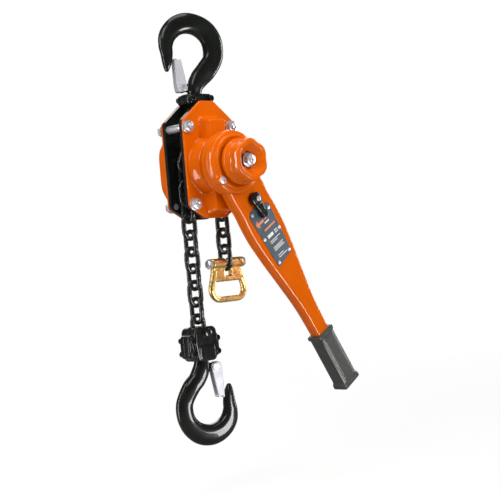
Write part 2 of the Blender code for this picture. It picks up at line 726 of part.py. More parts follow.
def make_hook(name, frame, neck, up):
    """A hook whose bowl is centred on the frame; up is -1 where the shank points down."""
    def flip(mesh):
        bmesh.ops.scale(mesh, vec=(up, 1, up), verts=mesh.verts)
        return mesh
    pivot = latch_pivot(neck)
    hook = solid(name, flip(swept(hook_stations(neck), 12)), "black_paint", frame)
    join(hook, flip(upright(COLLAR_RADIUS, 56 + neck - 1, 61 + neck)))
    web = block((-4, -4, pivot[1] - LATCH_LUG + 0.8), (pivot[0], 4, pivot[1] + LATCH_LUG - 0.8))
    join(hook, flip(web), flip(rod(LATCH_LUG, -4.2, 4.2, pivot, 16)))
    cut(hook, flip(rod(LATCH_PIN_RADIUS + GAP, -20, 20, pivot, 12)))


def make_latch(name, frame, neck, up):
    """A pressed channel from its pin to the inside of the hook's tip, with its pin."""
    pivot = Vector(latch_pivot(neck))
    reach = Vector(LATCH_TIP) - pivot
    turn = math.atan2(reach[1], reach[0])
    length = reach.length
    outer = rounded([(-5, 8.4, 3), (5, 8.4, 6), (length, 4, 2), (length, -4.5, 3), (-5, -5.5, 4)], 3)
    inner = [(-13, 6.9), (5, 6.9), (length - 3, 2.4), (length - 3, -12), (-13, -12)]
    if up < 0:
        turn += math.pi
        place = (-pivot[0], 0, -pivot[1])
    else:
        place = (pivot[0], 0, pivot[1])
    axis = empty(name + "_axis", place, frame)
    latch = solid(name, moved(prism(outer, -6.5, 6.5), turn=-turn, axis="Y"), "zinc", axis)
    cut(latch, moved(prism(inner, -5, 5), turn=-turn, axis="Y"))
    cut(latch, rod(LATCH_PIN_RADIUS + GAP, -20, 20, segments=12))
    profile = [(3.8, -8.0), (4.2, -7.4), (4.2, -6.8), (LATCH_PIN_RADIUS, -6.8), (LATCH_PIN_RADIUS, 6.8),
               (4.2, 6.8), (4.2, 7.4), (3.8, 8.0)]
    solid(name + "_pin", turned(profile, 12), "zinc", axis)


# ---------------------------------------------------------------- yoke and anchor block

def half_side(side, near, far):
    return sorted((side * near, side * far))


def make_yoke(swivel):
    outline = [(-20, 93, 6), (20, 93, 6), (21, 80, 6), (12, 76, 5), (11, 63, 7),
               (-11, 63, 7), (-12, 76, 5), (-21, 80, 6)]
    for name, side in (("top_yoke_front", -1), ("top_yoke_rear", 1)):
        yoke = solid(name, prism(rounded(outline), *half_side(side, GAP / 2, 13)), "black_paint", swivel)
        for x in (-15.5, 15.5):
            join(yoke, rod(3.4, *half_side(side, 12, 15.5), (x, 86.5), 10))
        cut(yoke, upright(COLLAR_RADIUS + 0.4, 80.6, 87.4))
        cut(yoke, upright(SHANK_RADIUS + 0.4, 84, 100))
        cut(yoke, rod(5.3, -30, 30, (0, YOKE_PIN_Z), 12))


def make_yoke_pin(frame):
    pin = turned([(5.0, -18.0), (5.0, 18.0)], 16, (0, YOKE_PIN_Z))
    solid("yoke_pin", pin, "steel", frame)


def make_anchor(anchor):
    """The two bolted halves round the last link and the hook's collar, and the chain pin."""
    low = -BLOCK_BELOW_PIN
    body = [(-17, BLOCK_ABOVE_PIN, 9), (17, BLOCK_ABOVE_PIN, 9), (18.5, -12, 6), (15, low, 6),
            (-15, low, 6), (-18.5, -12, 6)]
    lobes = [(-25, -1, 6), (25, -1, 6), (25, -31, 6), (-25, -31, 6)]
    for name, side in (("anchor_block_front", -1), ("anchor_block_rear", 1)):
        half = solid(name, prism(rounded(body, 3), *half_side(side, GAP / 2, BLOCK_HALF_DEPTH)),
                     "black_paint", anchor)
        join(half, prism(rounded(lobes, 3), *half_side(side, GAP / 2, 9)))
        for x in (-21, 21):
            for z in (-7, -25):
                join(half, rod(3.6, *half_side(side, 8, 12.5), (x, z), 10))
        cut(half, block((-14.5, -4.4, -13), (14.5, 4.4, 20)))
        cut(half, rod(ANCHOR_PIN_RADIUS + GAP, -30, 30, segments=16))
        cut(half, upright(COLLAR_RADIUS + 0.5, low + 6, low + 13))
        cut(half, upright(SHANK_RADIUS + 0.5, low - 5, low + 8))
    profile = [(ANCHOR_PIN_RADIUS, -BLOCK_HALF_DEPTH - 1), (ANCHOR_PIN_RADIUS, BLOCK_HALF_DEPTH - 1)]
    pin = solid("anchor_pin", turned(profile, 16), "black_paint", anchor)
    join(pin, hexagon(10, -BLOCK_HALF_DEPTH - 4.5, -BLOCK_HALF_DEPTH - GAP))


# ---------------------------------------------------------------- end ring

def make_end_ring(ring):
    """A cast loop under a split barrel, and the bolt that holds the last link in the split."""
    loop = rounded([(-20, -4, 4), (-32, -46, 12), (32, -46, 12), (20, -4, 4)], 4)
    stations = [(x, z, RING_WIRE, RING_WIRE) for x, z in loop]
    end_ring = solid("end_ring", swept(stations, 10), "brass", ring)
    bar = swept([(-25, -20, 4.5, 4), (25, -20, 4.5, 4)], 10)
    join(end_ring, crosswise(RING_BARREL_RADIUS, -RING_BARREL_HALF, RING_BARREL_HALF), bar)
    for side in (-1, 1):
        web = [(side * 9, -3, 0), (side * 21, -3, 0), (side * 24, -20, 0), (side * 14, -20, 0)]
        join(end_ring, prism(rounded(web), -3.2, 3.2))
    cut(end_ring, block((-4.8, -14, -15.5), (4.8, 14, 14)))
    cut(end_ring, crosswise(ANCHOR_PIN_RADIUS + GAP, -40, 40, 16))
    bolt = solid("end_ring_bolt", crosswise(ANCHOR_PIN_RADIUS, -RING_BARREL_HALF - 2, 29, 16), "zinc", ring)
    for x0 in (-RING_BARREL_HALF - 5.5, RING_BARREL_HALF + GAP):
        head = moved(hexagon(11, -x0 - 5, -x0), turn=math.pi / 2)
        join(bolt, head)


# ---------------------------------------------------------------- the whole hoist

def lever_place(distance):
    return (distance * math.sin(LEVER_ANGLE), -distance * math.cos(LEVER_ANGLE))


def build():
    top = empty("top_hook_axis", (0, 0, -BOWL_RADIUS), turn=HOOK_TURN)
    make_hook("top_hook", top, TOP_NECK, -1)
    make_latch("top_latch", top, TOP_NECK, -1)

    hub = empty("hub_axis", (0, 0, HUB_Z))
    make_yoke(hub)
    make_yoke_pin(hub)
    make_plates(hub)
    make_stays(hub)
    make_cover_studs(hub)
    make_brake_cover(hub)
    make_gear_cover(hub)
    make_stripper(hub)

    make_sheave(hub)
    make_sheave_chain(hub)
    make_gears(hub, empty("upper_gear_axis", (0, 0, GEAR_CENTRES), hub),
               empty("lower_gear_axis", (0, 0, -GEAR_CENTRES), hub))
    make_shaft(hub)
    make_brake(hub)
    left, right = both(PAWL_PIVOT)
    make_pawls(empty("left_pawl_axis", (left[0], 0, left[1]), hub),
               empty("right_pawl_axis", (right[0], 0, right[1]), hub))
    make_change_gear(hub)

    make_lever_shells(hub)
    make_case_screws(hub)
    make_grip(hub)
    make_name_plate(hub)
    x, z = lever_place(SELECTOR_DISTANCE)
    make_selector(empty("selector_axis", (x, 0, z), hub))
    make_knob(empty("knob_axis", (0, 0, 0), hub), hub)
    make_knob_spring(hub)

    swing_z = -PITCH * JOINED_LINKS
    load = empty("load_fall_axis", (-JOINT_RADIUS, 0, 0), hub)
    load_swing = empty("load_swing_axis", (0, 0, swing_z), load)
    make_fall("load", LOAD_LINKS, True, load, load_swing)
    tail = empty("tail_fall_axis", (JOINT_RADIUS + TAIL_OUTSET, 0, 0), hub)
    tail_swing = empty("tail_swing_axis", (0, 0, swing_z), tail)
    make_fall("tail", TAIL_LINKS, False, tail, tail_swing)

    pin_lift = ANCHOR_PIN_RADIUS + PIN_CLEARANCE - LINK_PLAY / 2
    anchor = empty("anchor_axis", (0, 0, pin_lift - PITCH * LOAD_LINKS), load)
    make_anchor(anchor)
    drop = BLOCK_BELOW_PIN + COLLAR_HEIGHT + LOAD_NECK
    load_hook = empty("load_hook_axis", (0, 0, -drop), anchor, HOOK_TURN)
    make_hook("load_hook", load_hook, LOAD_NECK, 1)
    make_latch("load_latch", load_hook, LOAD_NECK, 1)
    ring = empty("end_ring_axis", (0, 0, pin_lift - PITCH * TAIL_LINKS), tail)
    make_end_ring(ring)


clear_scene()
MATERIALS = make_finishes()
build()
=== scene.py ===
"""The looks of a hand lever chain hoist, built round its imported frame.

Shapes are drawn in millimetres and MM turns them into metres when a piece is finished.
X is to the right, Y to the back and Z up. Most shapes are drawn round the hub's axis and then
placed at HUB.
"""

import json
import math

import bmesh
import bpy
from mathutils import Matrix, Quaternion, Vector


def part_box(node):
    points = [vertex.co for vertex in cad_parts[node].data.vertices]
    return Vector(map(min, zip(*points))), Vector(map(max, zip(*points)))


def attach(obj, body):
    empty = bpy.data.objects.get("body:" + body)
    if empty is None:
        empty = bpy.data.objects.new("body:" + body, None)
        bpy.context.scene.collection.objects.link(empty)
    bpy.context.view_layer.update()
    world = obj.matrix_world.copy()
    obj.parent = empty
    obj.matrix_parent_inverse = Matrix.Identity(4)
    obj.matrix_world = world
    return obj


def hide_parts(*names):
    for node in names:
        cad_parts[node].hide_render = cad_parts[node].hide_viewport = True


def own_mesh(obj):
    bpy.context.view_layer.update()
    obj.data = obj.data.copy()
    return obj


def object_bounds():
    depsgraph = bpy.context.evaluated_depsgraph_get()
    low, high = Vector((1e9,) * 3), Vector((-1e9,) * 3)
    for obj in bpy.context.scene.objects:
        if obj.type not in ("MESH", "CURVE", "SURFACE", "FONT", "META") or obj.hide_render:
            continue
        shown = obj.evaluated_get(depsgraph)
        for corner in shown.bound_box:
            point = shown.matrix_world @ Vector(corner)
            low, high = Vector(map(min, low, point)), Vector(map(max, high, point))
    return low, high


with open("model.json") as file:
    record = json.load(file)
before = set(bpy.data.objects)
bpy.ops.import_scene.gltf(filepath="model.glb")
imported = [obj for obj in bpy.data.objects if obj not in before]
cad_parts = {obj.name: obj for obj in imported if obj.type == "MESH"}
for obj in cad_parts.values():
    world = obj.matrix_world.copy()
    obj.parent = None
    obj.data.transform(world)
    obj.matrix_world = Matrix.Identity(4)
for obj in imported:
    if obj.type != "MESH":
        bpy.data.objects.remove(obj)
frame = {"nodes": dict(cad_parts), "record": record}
CAD_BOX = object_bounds()

MM = 0.001


def box(node):
    """Lowest and highest corner of a CAD node in millimetres."""
    low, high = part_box(node)
    return low / MM, high / MM


def centre(node):
    low, high = box(node)
    return (low + high) / 2


def extent(node, axis):
    low, high = box(node)
    return high[axis] - low[axis]


# Hooks and anchor block: how far their ends are from the place they are drawn round.
TOP_NECK = 7.0
LOAD_NECK = 10.0
BOWL_TO_SHANK = 61.0
ANCHOR_TOP = 8.0
ANCHOR_LOW = -35.0

# Places and sizes that come from the frame.
HUB = Vector((centre("friction_disc_outer").x, 0, centre("friction_disc_outer").z))
FLANGE_BACK = box("brake_cover")[1].y
FLANGE_FRONT = FLANGE_BACK - 3.0
DOME_FRONT = box("brake_cover")[0].y
GEAR_BACK = box("gear_cover")[1].y
LEVER_BACK = box("lever_rear_shell")[1].y
HEAD_FRONT = box("lever_front_shell")[0].y
KNOB_BACK, KNOB_FRONT = box("hand_knob")[1].y, box("hand_knob")[0].y
SKIRT_RADIUS = extent("hand_knob", 2) / 2
LINK_LENGTH = extent("load_link_05", 2)
LINK_WIDTH = extent("load_link_05", 1)
WIRE = extent("load_link_05", 0)
TOP_BOWL = Vector((0, 0, box("top_hook")[0].z + BOWL_TO_SHANK + TOP_NECK))
LOAD_BOWL = Vector((centre("load_link_05").x, 0, box("load_hook")[1].z - BOWL_TO_SHANK - LOAD_NECK))
ANCHOR = Vector((centre("load_link_05").x, 0, box("anchor_block_front")[1].z - ANCHOR_TOP))
RING = Vector((centre("end_ring").x, 0, centre("end_ring_bolt").z))

# The body's outline round the hub, each corner as (x, z, radius), and what is bolted through it.
BODY_OUTLINE = (
    (-11, 82, 7), (11, 82, 7), (42, 57, 8), (42, -50, 8),
    (17, -65, 12), (-17, -65, 12), (-42, -50, 8), (-42, 57, 8),
)
TOP_STAY = (36.0, 49.0)
BOTTOM_STAY = (0.0, -51.0)
STUD_PLACE = (34.0, -47.0)
GEAR_BULGE = ((19, 54), (38, 26), (38, -26), (19, -54), (-19, -54), (-38, -26), (-38, 26), (-19, 54))
COVER_WALL = 3.0
COVER_BORE = 12.4
COVER_ROLL = 1.3
STUD_RADIUS = 4.0
NUT_FLATS = 13.0
NUT_END = 28.1
THREAD_PITCH = 1.25
THREAD_DEPTH = 0.4

# Lever: measured along it from the hub, as (distance, half width).
LEVER_ANGLE = math.radians(31)
LEVER_SPLIT = -53.0
LEVER_FACE = -61.0
HEAD_RADIUS = 40.0
ARM_WIDTHS = (
    (46, 29.5), (60, 28.4), (80, 29.4), (105, 29), (137, 25), (175, 19), (215, 13.4), (258, 11.5),
)
ARM_END = (267.0, 11.3)
GRIP_RANGE = (259.5, 345.0)
SELECTOR_DISTANCE = 54.0
CASE_SCREWS = ((-27.0, -22.0), (27.0, 22.0))
PRINT_DEPTH = 0.12

# Chain.
PITCH = 21.0
POCKETS = 4
LINK_ANGLE = math.pi / POCKETS
LINK_RADIUS = PITCH / (2 * math.sin(LINK_ANGLE / 2)) * math.cos(LINK_ANGLE / 2)
JOINED_LINKS = 4
FALLS = {"load": (10, True), "tail": (6, False)}

# Hooks: (u, w) in the hook's own plane, u towards the tip and w towards the shank.
BOWL_RADIUS = 21.0
BOWL_OFFSET = 4.0
HOOK_TURN = math.radians(-20)
LATCH_TIP = (21.5, 10.0)

CAMERA_AZIMUTH = math.radians(-43)
CAMERA_ROLL = math.radians(5)
CAMERA_DISTANCE = 1.58
CAMERA_LENS = 90.0
HUB_IN_FRAME = (-0.062, 0.104)

LIGHTS_AIM = Vector((0.02, 0, -0.25))
SOFT_LIGHT = 0.53
SOFT_REFLECTION = 0.09
FLOOR_DROP = 0.06
FLOOR_SEGMENTS = 96


# ---- materials

def node_material(name):
    material = bpy.data.materials.new(name)
    material.use_nodes = True
    return material, material.node_tree.nodes, material.node_tree.links


def noise(nodes, links, coordinates, scale, detail=4.0):
    node = nodes.new("ShaderNodeTexNoise")
    node.inputs["Scale"].default_value = scale
    node.inputs["Detail"].default_value = detail
    links.new(coordinates, node.inputs["Vector"])
    return node.outputs["Fac"]


def ramp(nodes, links, value, low, high, start=0.0, end=1.0):
    """A value mapped from low..high to start..end and clamped."""
    node = nodes.new("ShaderNodeMapRange")
    for label, number in (("From Min", low), ("From Max", high), ("To Min", start), ("To Max", end)):
        node.inputs[label].default_value = number
    links.new(value, node.inputs["Value"])
    return node.outputs["Result"]


def mixed(nodes, links, share, first, second):
    """A colour between first and second, each a colour or a socket."""
    node = nodes.new("ShaderNodeMix")
    node.data_type = "RGBA"
    links.new(share, node.inputs["Factor"])
    for label, colour in (("A", first), ("B", second)):
        socket = [s for s in node.inputs if s.name == label and s.type == "RGBA"][0]
        if isinstance(colour, tuple):
            socket.default_value = (*colour, 1)
        else:
            links.new(colour, socket)
    return [s for s in node.outputs if s.type == "RGBA"][0]


def multiplied(nodes, links, first, second):
    node = nodes.new("ShaderNodeMath")
    node.operation = "MULTIPLY"
    links.new(first, node.inputs[0])
    links.new(second, node.inputs[1])
    return node.outputs["Value"]


def surface(name, colour, shade, worn, roughness, metallic=0.0, coat=0.0, grain=(600, 0.03), cloud=30,
            speckle=0.0, wear=0.6, shine=0.5):
    """A finish that varies in colour and gloss, with a fine grain, painted shade (a darker colour) in
    hollow corners and worn edges.

    grain is (scale, depth in millimetres); wear is the share of worn colour on sharp edges; shine is the
    strength of the soft reflection under the coat.
    """
    material, nodes, links = node_material(name)
    shader = nodes["Principled BSDF"]
    place = nodes.new("ShaderNodeTexCoord").outputs["Object"]
    edge = nodes.new("ShaderNodeNewGeometry").outputs["Pointiness"]
    clouds = noise(nodes, links, place, cloud, 5.0)
    base = mixed(nodes, links, ramp(nodes, links, clouds, 0.35, 0.65), colour, shade)
    # Painted shade: the colour turns darker in hollow corners and creases, where less light reaches.
    corner = ramp(nodes, links, edge, 0.47, 0.40, 0.0, 0.55)
    base = mixed(nodes, links, corner, base, tuple(0.35 * c for c in shade))
    patches = ramp(nodes, links, noise(nodes, links, place, 220, 6.0), 0.45, 0.62)
    rub = multiplied(nodes, links, ramp(nodes, links, edge, 0.56, 0.66, 0.0, wear), patches)
    base = mixed(nodes, links, rub, base, worn)
    if speckle:
        dots = ramp(nodes, links, noise(nodes, links, place, 1500, 2.0), 0.62, 0.7, 0.0, speckle)
        base = mixed(nodes, links, dots, base, worn)
    links.new(base, shader.inputs["Base Color"])
    gloss = ramp(nodes, links, noise(nodes, links, place, cloud * 3, 6.0), 0.3, 0.7,
                 roughness * 0.8, roughness * 1.25)
    links.new(gloss, shader.inputs["Roughness"])
    shader.inputs["Metallic"].default_value = metallic
    shader.inputs["Specular IOR Level"].default_value = shine
    shader.inputs["Coat Weight"].default_value = coat
    shader.inputs["Coat Roughness"].default_value = 0.08
    bump = nodes.new("ShaderNodeBump")
    bump.inputs["Distance"].default_value = grain[1] * MM
    bump.inputs["Strength"].default_value = 0.6
    links.new(noise(nodes, links, place, grain[0], 3.0), bump.inputs["Height"])
    links.new(bump.outputs["Normal"], shader.inputs["Normal"])
    return material


def rubber(name):
    """Dull rubber with a pebbled skin and darker pores."""
    material, nodes, links = node_material(name)
    shader = nodes["Principled BSDF"]
    place = nodes.new("ShaderNodeTexCoord").outputs["Object"]
    cells = nodes.new("ShaderNodeTexVoronoi")
    cells.inputs["Scale"].default_value = 1300
    links.new(place, cells.inputs["Vector"])
    clouds = noise(nodes, links, place, 60, 6.0)
    share = ramp(nodes, links, clouds, 0.3, 0.7)
    base = mixed(nodes, links, share, (0.036, 0.039, 0.034), (0.05, 0.053, 0.046))
    pores = ramp(nodes, links, cells.outputs["Distance"], 0.4, 0.75, 0.0, 0.3)
    base = mixed(nodes, links, pores, base, (0.025, 0.027, 0.023))
    links.new(base, shader.inputs["Base Color"])
    shader.inputs["Roughness"].default_value = 0.36
    bump = nodes.new("ShaderNodeBump")
    bump.inputs["Distance"].default_value = 0.08 * MM
    bump.inputs["Strength"].default_value = 0.5
    links.new(cells.outputs["Distance"], bump.inputs["Height"])
    links.new(bump.outputs["Normal"], shader.inputs["Normal"])
    return material


def make_finishes():
    return {
        "orange_paint": surface("orange_paint", (0.745, 0.128, 0.0), (0.69, 0.113, 0.0),
                                (0.95, 0.3, 0.04), 0.34, coat=0.7, grain=(420, 0.025), wear=0.3, shine=0.0),
        "black_paint": surface("black_paint", (0.004, 0.005, 0.004), (0.008, 0.01, 0.008),
                               (0.06, 0.07, 0.06), 0.3, coat=0.5, grain=(300, 0.06), wear=0.3, shine=0.15),
        "black_chain": surface("black_chain", (0.009, 0.01, 0.009), (0.02, 0.023, 0.02),
                               (0.16, 0.17, 0.16), 0.27, metallic=0.35, coat=0.35, grain=(700, 0.03),
                               wear=0.5),
        "zinc": surface("zinc", (0.66, 0.66, 0.7), (0.55, 0.55, 0.59), (0.8, 0.8, 0.82), 0.3,
                        metallic=0.7, grain=(1200, 0.012), speckle=0.12),
        "latch_plating": surface("latch_plating", (0.55, 0.55, 0.6), (0.46, 0.46, 0.5),
                                 (0.75, 0.75, 0.78), 0.4, metallic=0.12, grain=(1200, 0.012),
                                 speckle=0.12),
        "steel": surface("steel", (0.2, 0.2, 0.2), (0.12, 0.12, 0.12), (0.5, 0.5, 0.5), 0.38,
                         metallic=1.0, grain=(900, 0.02)),
        "friction": surface("friction", (0.16, 0.11, 0.08), (0.1, 0.07, 0.05), (0.3, 0.24, 0.18), 0.85,
                            grain=(900, 0.05), speckle=0.5),
        "grip_rubber": rubber("grip_rubber"),
        "brass": surface("brass", (0.76, 0.52, 0.2), (0.62, 0.4, 0.13), (0.95, 0.8, 0.5), 0.3,
                         metallic=0.92, grain=(500, 0.05), cloud=70, wear=0.5),
        "label": surface("label", (0.045, 0.075, 0.11), (0.035, 0.06, 0.09), (0.1, 0.14, 0.18), 0.42,
                         grain=(1300, 0.01)),
        "print_orange": surface("print_orange", (0.85, 0.2, 0.02), (0.75, 0.16, 0.015), (0.9, 0.4, 0.2),
                                0.5, grain=(1300, 0.01)),
        "print_white": surface("print_white", (0.82, 0.82, 0.8), (0.7, 0.7, 0.7), (0.9, 0.9, 0.9), 0.5,
                               grain=(1300, 0.01)),
    }


FINISHES = make_finishes()


# ---- mesh work

def added(name, data):
    """A new object in the scene for a mesh, camera or light."""
    obj = bpy.data.objects.new(name, data)
    bpy.context.scene.collection.objects.link(obj)
    return obj


def removed(obj):
    data = obj.data
    bpy.data.objects.remove(obj)
    bpy.data.meshes.remove(data)


def mesh_object(name, mesh):
    """A bmesh turned into an object; the bmesh is used up."""
    data = bpy.data.meshes.new(name)
    mesh.to_mesh(data)
    mesh.free()
    return added(name, data)


def working(mesh):
    """A bmesh as an object for its modifiers to work on."""
    bmesh.ops.recalc_face_normals(mesh, faces=mesh.faces)
    return mesh_object("working", mesh)


def harvested(obj, *helpers):
    """The bmesh that a working object's modifiers give; the objects are removed."""
    graph = bpy.context.evaluated_depsgraph_get()
    made = obj.evaluated_get(graph)
    mesh = bmesh.new()
    mesh.from_mesh(made.to_mesh())
    made.to_mesh_clear()
    for used in (obj, *helpers):
        removed(used)
    return mesh


def boolean(mesh, other, operation):
    obj, helper = working(mesh), working(other)
    modifier = obj.modifiers.new("boolean", "BOOLEAN")
    modifier.operation = operation
    modifier.solver = "MANIFOLD"
    modifier.object = helper
    return harvested(obj, helper)


def cut(mesh, *others):
    for other in others:
        mesh = boolean(mesh, other, "DIFFERENCE")
    return mesh


def joined(mesh, *others):
    for other in others:
        mesh = boolean(mesh, other, "UNION")
    return mesh


def merged(mesh, *others):
    """Closed bodies side by side in one mesh."""
    for other in others:
        obj = working(other)
        mesh.from_mesh(obj.data)
        removed(obj)
    return mesh


def fused(voxel, rounds, *meshes):
    """Overlapping bodies grown into one, with the soft inner corners of a forging."""
    obj = working(merged(bmesh.new(), *meshes))
    remesh = obj.modifiers.new("grow", "REMESH")
    remesh.mode = "VOXEL"
    remesh.voxel_size = voxel
    smooth = obj.modifiers.new("soften", "SMOOTH")
    smooth.factor = 0.5
    smooth.iterations = rounds
    return harvested(obj)


def piece(name, mesh, finish, body, stands_for=(), place=HUB, sharp=38):
    """Finishes a bmesh in millimetres as a piece that rides on a body and stands for CAD nodes."""
    bmesh.ops.recalc_face_normals(mesh, faces=mesh.faces)
    bmesh.ops.translate(mesh, vec=place, verts=mesh.verts)
    bmesh.ops.scale(mesh, vec=(MM, MM, MM), verts=mesh.verts)
    obj = mesh_object(name, mesh)
    obj.data.shade_smooth()
    obj.data.set_sharp_from_angle(angle=math.radians(sharp))
    obj.data.materials.append(FINISHES[finish])
    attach(obj, body)
    if stands_for:
        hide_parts(*stands_for)
    return obj


def skin(rings, loop=False):
    """Faces between rings of points, with flat ends unless the rings close on themselves."""
    mesh = bmesh.new()
    rings = [[mesh.verts.new(point) for point in ring] for ring in rings]
    pairs = list(zip(rings, rings[1:]))
    if loop:
        pairs.append((rings[-1], rings[0]))
    for low, high in pairs:
        count = len(low)
        for i in range(count):
            mesh.faces.new((low[i], low[(i + 1) % count], high[(i + 1) % count], high[i]))
    if not loop:
        mesh.faces.new(rings[0])
        mesh.faces.new(rings[-1])
    return mesh


def placed(mesh, place=(0, 0, 0), turn=0.0, axis="Z"):
    bmesh.ops.rotate(mesh, matrix=Matrix.Rotation(turn, 3, axis), verts=mesh.verts)
    bmesh.ops.translate(mesh, vec=place, verts=mesh.verts)
    return mesh


def arc_corners(points, steps, closed=True):
    """Points (a, b, radius) with each corner turned into an arc of that radius."""
    made = []
    count = len(points)
    for i, (a, b, radius) in enumerate(points):
        corner = Vector((a, b))
        if not radius or (not closed and i in (0, count - 1)):
            made.append(corner)
            continue
        before = Vector(points[i - 1][:2]) - corner
        after = Vector(points[(i + 1) % count][:2]) - corner
        half = before.angle(after) / 2
        reach = min(radius / math.tan(half), 0.49 * before.length, 0.49 * after.length)
        radius = reach * math.tan(half)
        inward = (before.normalized() + after.normalized()).normalized()
        middle = corner + inward * radius / math.sin(half)
        start = corner + before.normalized() * reach - middle
        sweep = start.angle_signed(corner + after.normalized() * reach - middle)
        for step in range(steps + 1):
            turn = Matrix.Rotation(-sweep * step / steps, 2)
            made.append(middle + turn @ start)
    return made


def evened(points, spacing):
    """A closed outline with points at an even spacing."""
    made = []
    for first, second in zip(points, points[1:] + points[:1]):
        length = (second - first).length
        if length < 1e-6:
            continue
        count = max(1, round(length / spacing))
        made += [first.lerp(second, k / count) for k in range(count)]
    return made


def resampled(points, count):
    """A closed outline with count points at even steps along it, from its first point on."""
    points = [Vector(p) for p in points]
    sides = list(zip(points, points[1:] + points[:1]))
    step = sum((q - p).length for p, q in sides) / count
    made = []
    travelled = 0.0
    for first, second in sides:
        length = (second - first).length
        while len(made) < count and len(made) * step <= travelled + length + 1e-9:
            made.append(first.lerp(second, (len(made) * step - travelled) / max(length, 1e-9)))
        travelled += length
    return made


def normals_of(outline):
    """Outward normals of a closed outline."""
    area = sum(p.x * q.y - q.x * p.y for p, q in zip(outline, outline[1:] + outline[:1]))
    side = 1 if area > 0 else -1
    made = []
    for i in range(len(outline)):
        along = outline[(i + 1) % len(outline)] - outline[i - 1]
        made.append(Vector((along.y, -along.x)).normalized() * side)
    return made


def rolled(outline, y0, y1, first, second, steps=5):
    """A plate from y0 to y1 along Y whose two rims are rolled over with the radii first and second."""
    normals = normals_of(outline)
    inward = 1 if y1 > y0 else -1
    levels = [(first + 1.2, y0), (first + 0.4, y0)]
    for step in range(steps + 1):
        angle = math.pi / 2 * step / steps
        levels.append((first * (1 - math.sin(angle)), y0 + inward * first * (1 - math.cos(angle))))
    for step in range(steps + 1):
        angle = math.pi / 2 * step / steps
        levels.append((second * (1 - math.cos(angle)), y1 - inward * second * (1 - math.sin(angle))))
    levels += [(second + 0.4, y1), (second + 1.2, y1)]
    rings = []
    for inset, y in levels:
        rings.append([(p.x - n.x * inset, y, p.y - n.y * inset) for p, n in zip(outline, normals)])
    return skin(rings)


def plate(corners, steps, spacing, *levels):
    """A rolled plate whose outline is given by its corners as (a, b, radius)."""
    return rolled(evened(arc_corners(corners, steps), spacing), *levels)


def lathe(profile, segments, place=(0, 0), steps=4, lobes=None):
    """A turned body about Y from (radius, y, corner radius); lobes(angle, y) scales its radius."""
    rings = []
    for point in arc_corners(profile, steps, closed=False):
        ring = []
        for i in range(segments):
            angle = 2 * math.pi * i / segments
            radius = point.x * (lobes(angle, point.y) if lobes else 1)
            x, z = radius * math.cos(angle), radius * math.sin(angle)
            ring.append((place[0] + x, point.y, place[1] + z))
        rings.append(ring)
    return skin(rings)


def shifted(profile, y0):
    """A lathe's profile moved along Y."""
    return [(radius, y0 + y, corner) for radius, y, corner in profile]


def hex_body(flats, y0, y1, place=(0, 0), segments=72):
    """A hexagon along Y with chamfered corners at both ends."""
    rings = []
    chamfer = math.tan(math.radians(30))
    inward = 1 if y1 > y0 else -1
    depths = (0, 0.12, 0.25, 0.4, 0.6, 0.9)
    levels = [(y0 + inward * d, d) for d in depths] + [(y1 - inward * d, d) for d in reversed(depths)]
    for y, depth in levels:
        ring = []
        for i in range(segments):
            angle = 2 * math.pi * i / segments
            off = (angle + math.pi / 6) % (math.pi / 3) - math.pi / 6
            radius = min(flats / 2 / math.cos(off), flats * 0.485 + depth / chamfer)
            ring.append((place[0] + radius * math.cos(angle), y, place[1] + radius * math.sin(angle)))
        rings.append(ring)
    return skin(rings)


def threaded(radius, y0, y1, place=(0, 0)):
    """A threaded end along Y, chamfered and slightly hollow at y1."""
    sign = 1 if y1 > y0 else -1
    turns = int((abs(y1 - y0) - 1.0) / THREAD_PITCH)
    profile = [(radius - 0.1, y0, 0)]
    for turn in range(turns):
        start = y0 + sign * turn * THREAD_PITCH
        profile.append((radius, start + sign * 0.2, 0))
        profile.append((radius, start + sign * 0.45, 0))
        profile.append((radius - THREAD_DEPTH, start + sign * 0.85, 0))
    profile += [(radius, y1 - sign * 0.9, 0), (radius - 0.7, y1, 0.2), (radius * 0.5, y1, 0.1),
                (radius * 0.3, y1 - sign * 0.4, 0)]
    return lathe(profile, 40, place, 2)


def washer(outer, y0, y1, place=(0, 0)):
    return lathe([(1.0, y0, 0), (outer, y0, 0.35), (outer, y1, 0.35), (1.0, y1, 0)], 48, place, 3)


def upright(radius, z0, z1):
    """A round bar about Z."""
    return placed(lathe([(radius, z0, 0), (radius, z1, 0)], 64), turn=math.pi / 2, axis="X")


def crosswise(radius, x0, x1, rim=0.3):
    """A round bar about X with rounded rims."""
    profile = [(radius * 0.5, -x1, 0), (radius, -x1, rim), (radius, -x0, rim), (radius * 0.5, -x0, 0)]
    return placed(lathe(profile, 48), turn=math.pi / 2)


def block(low, high):
    corners = ((low[0], low[1]), (high[0], low[1]), (high[0], high[1]), (low[0], high[1]))
    return skin([[(x, y, z) for x, y in corners] for z in (low[2], high[2])])


def smooth_through(stations, steps):
    """Stations of any width on a smooth curve through the given ones."""
    made = []
    count = len(stations)
    for i in range(count - 1):
        p0, p1, p2, p3 = (stations[min(max(i + k, 0), count - 1)] for k in (-1, 0, 1, 2))
        for step in range(steps):
            t = step / steps
            made.append(tuple(0.5 * (2 * b + (c - a) * t + (2 * a - 5 * b + 4 * c - d) * t * t
                                     + (3 * b - a - 3 * c + d) * t ** 3)
                              for a, b, c, d in zip(p0, p1, p2, p3)))
    made.append(tuple(stations[-1]))
    return made


def squircle(count, power):
    """A round outline that is squarer the higher the power is."""
    made = []
    for i in range(count):
        angle = 2 * math.pi * i / count
        c, s = math.cos(angle), math.sin(angle)
        scale = (abs(c) ** power + abs(s) ** power) ** (-1 / power)
        made.append((c * scale, s * scale))
    return made


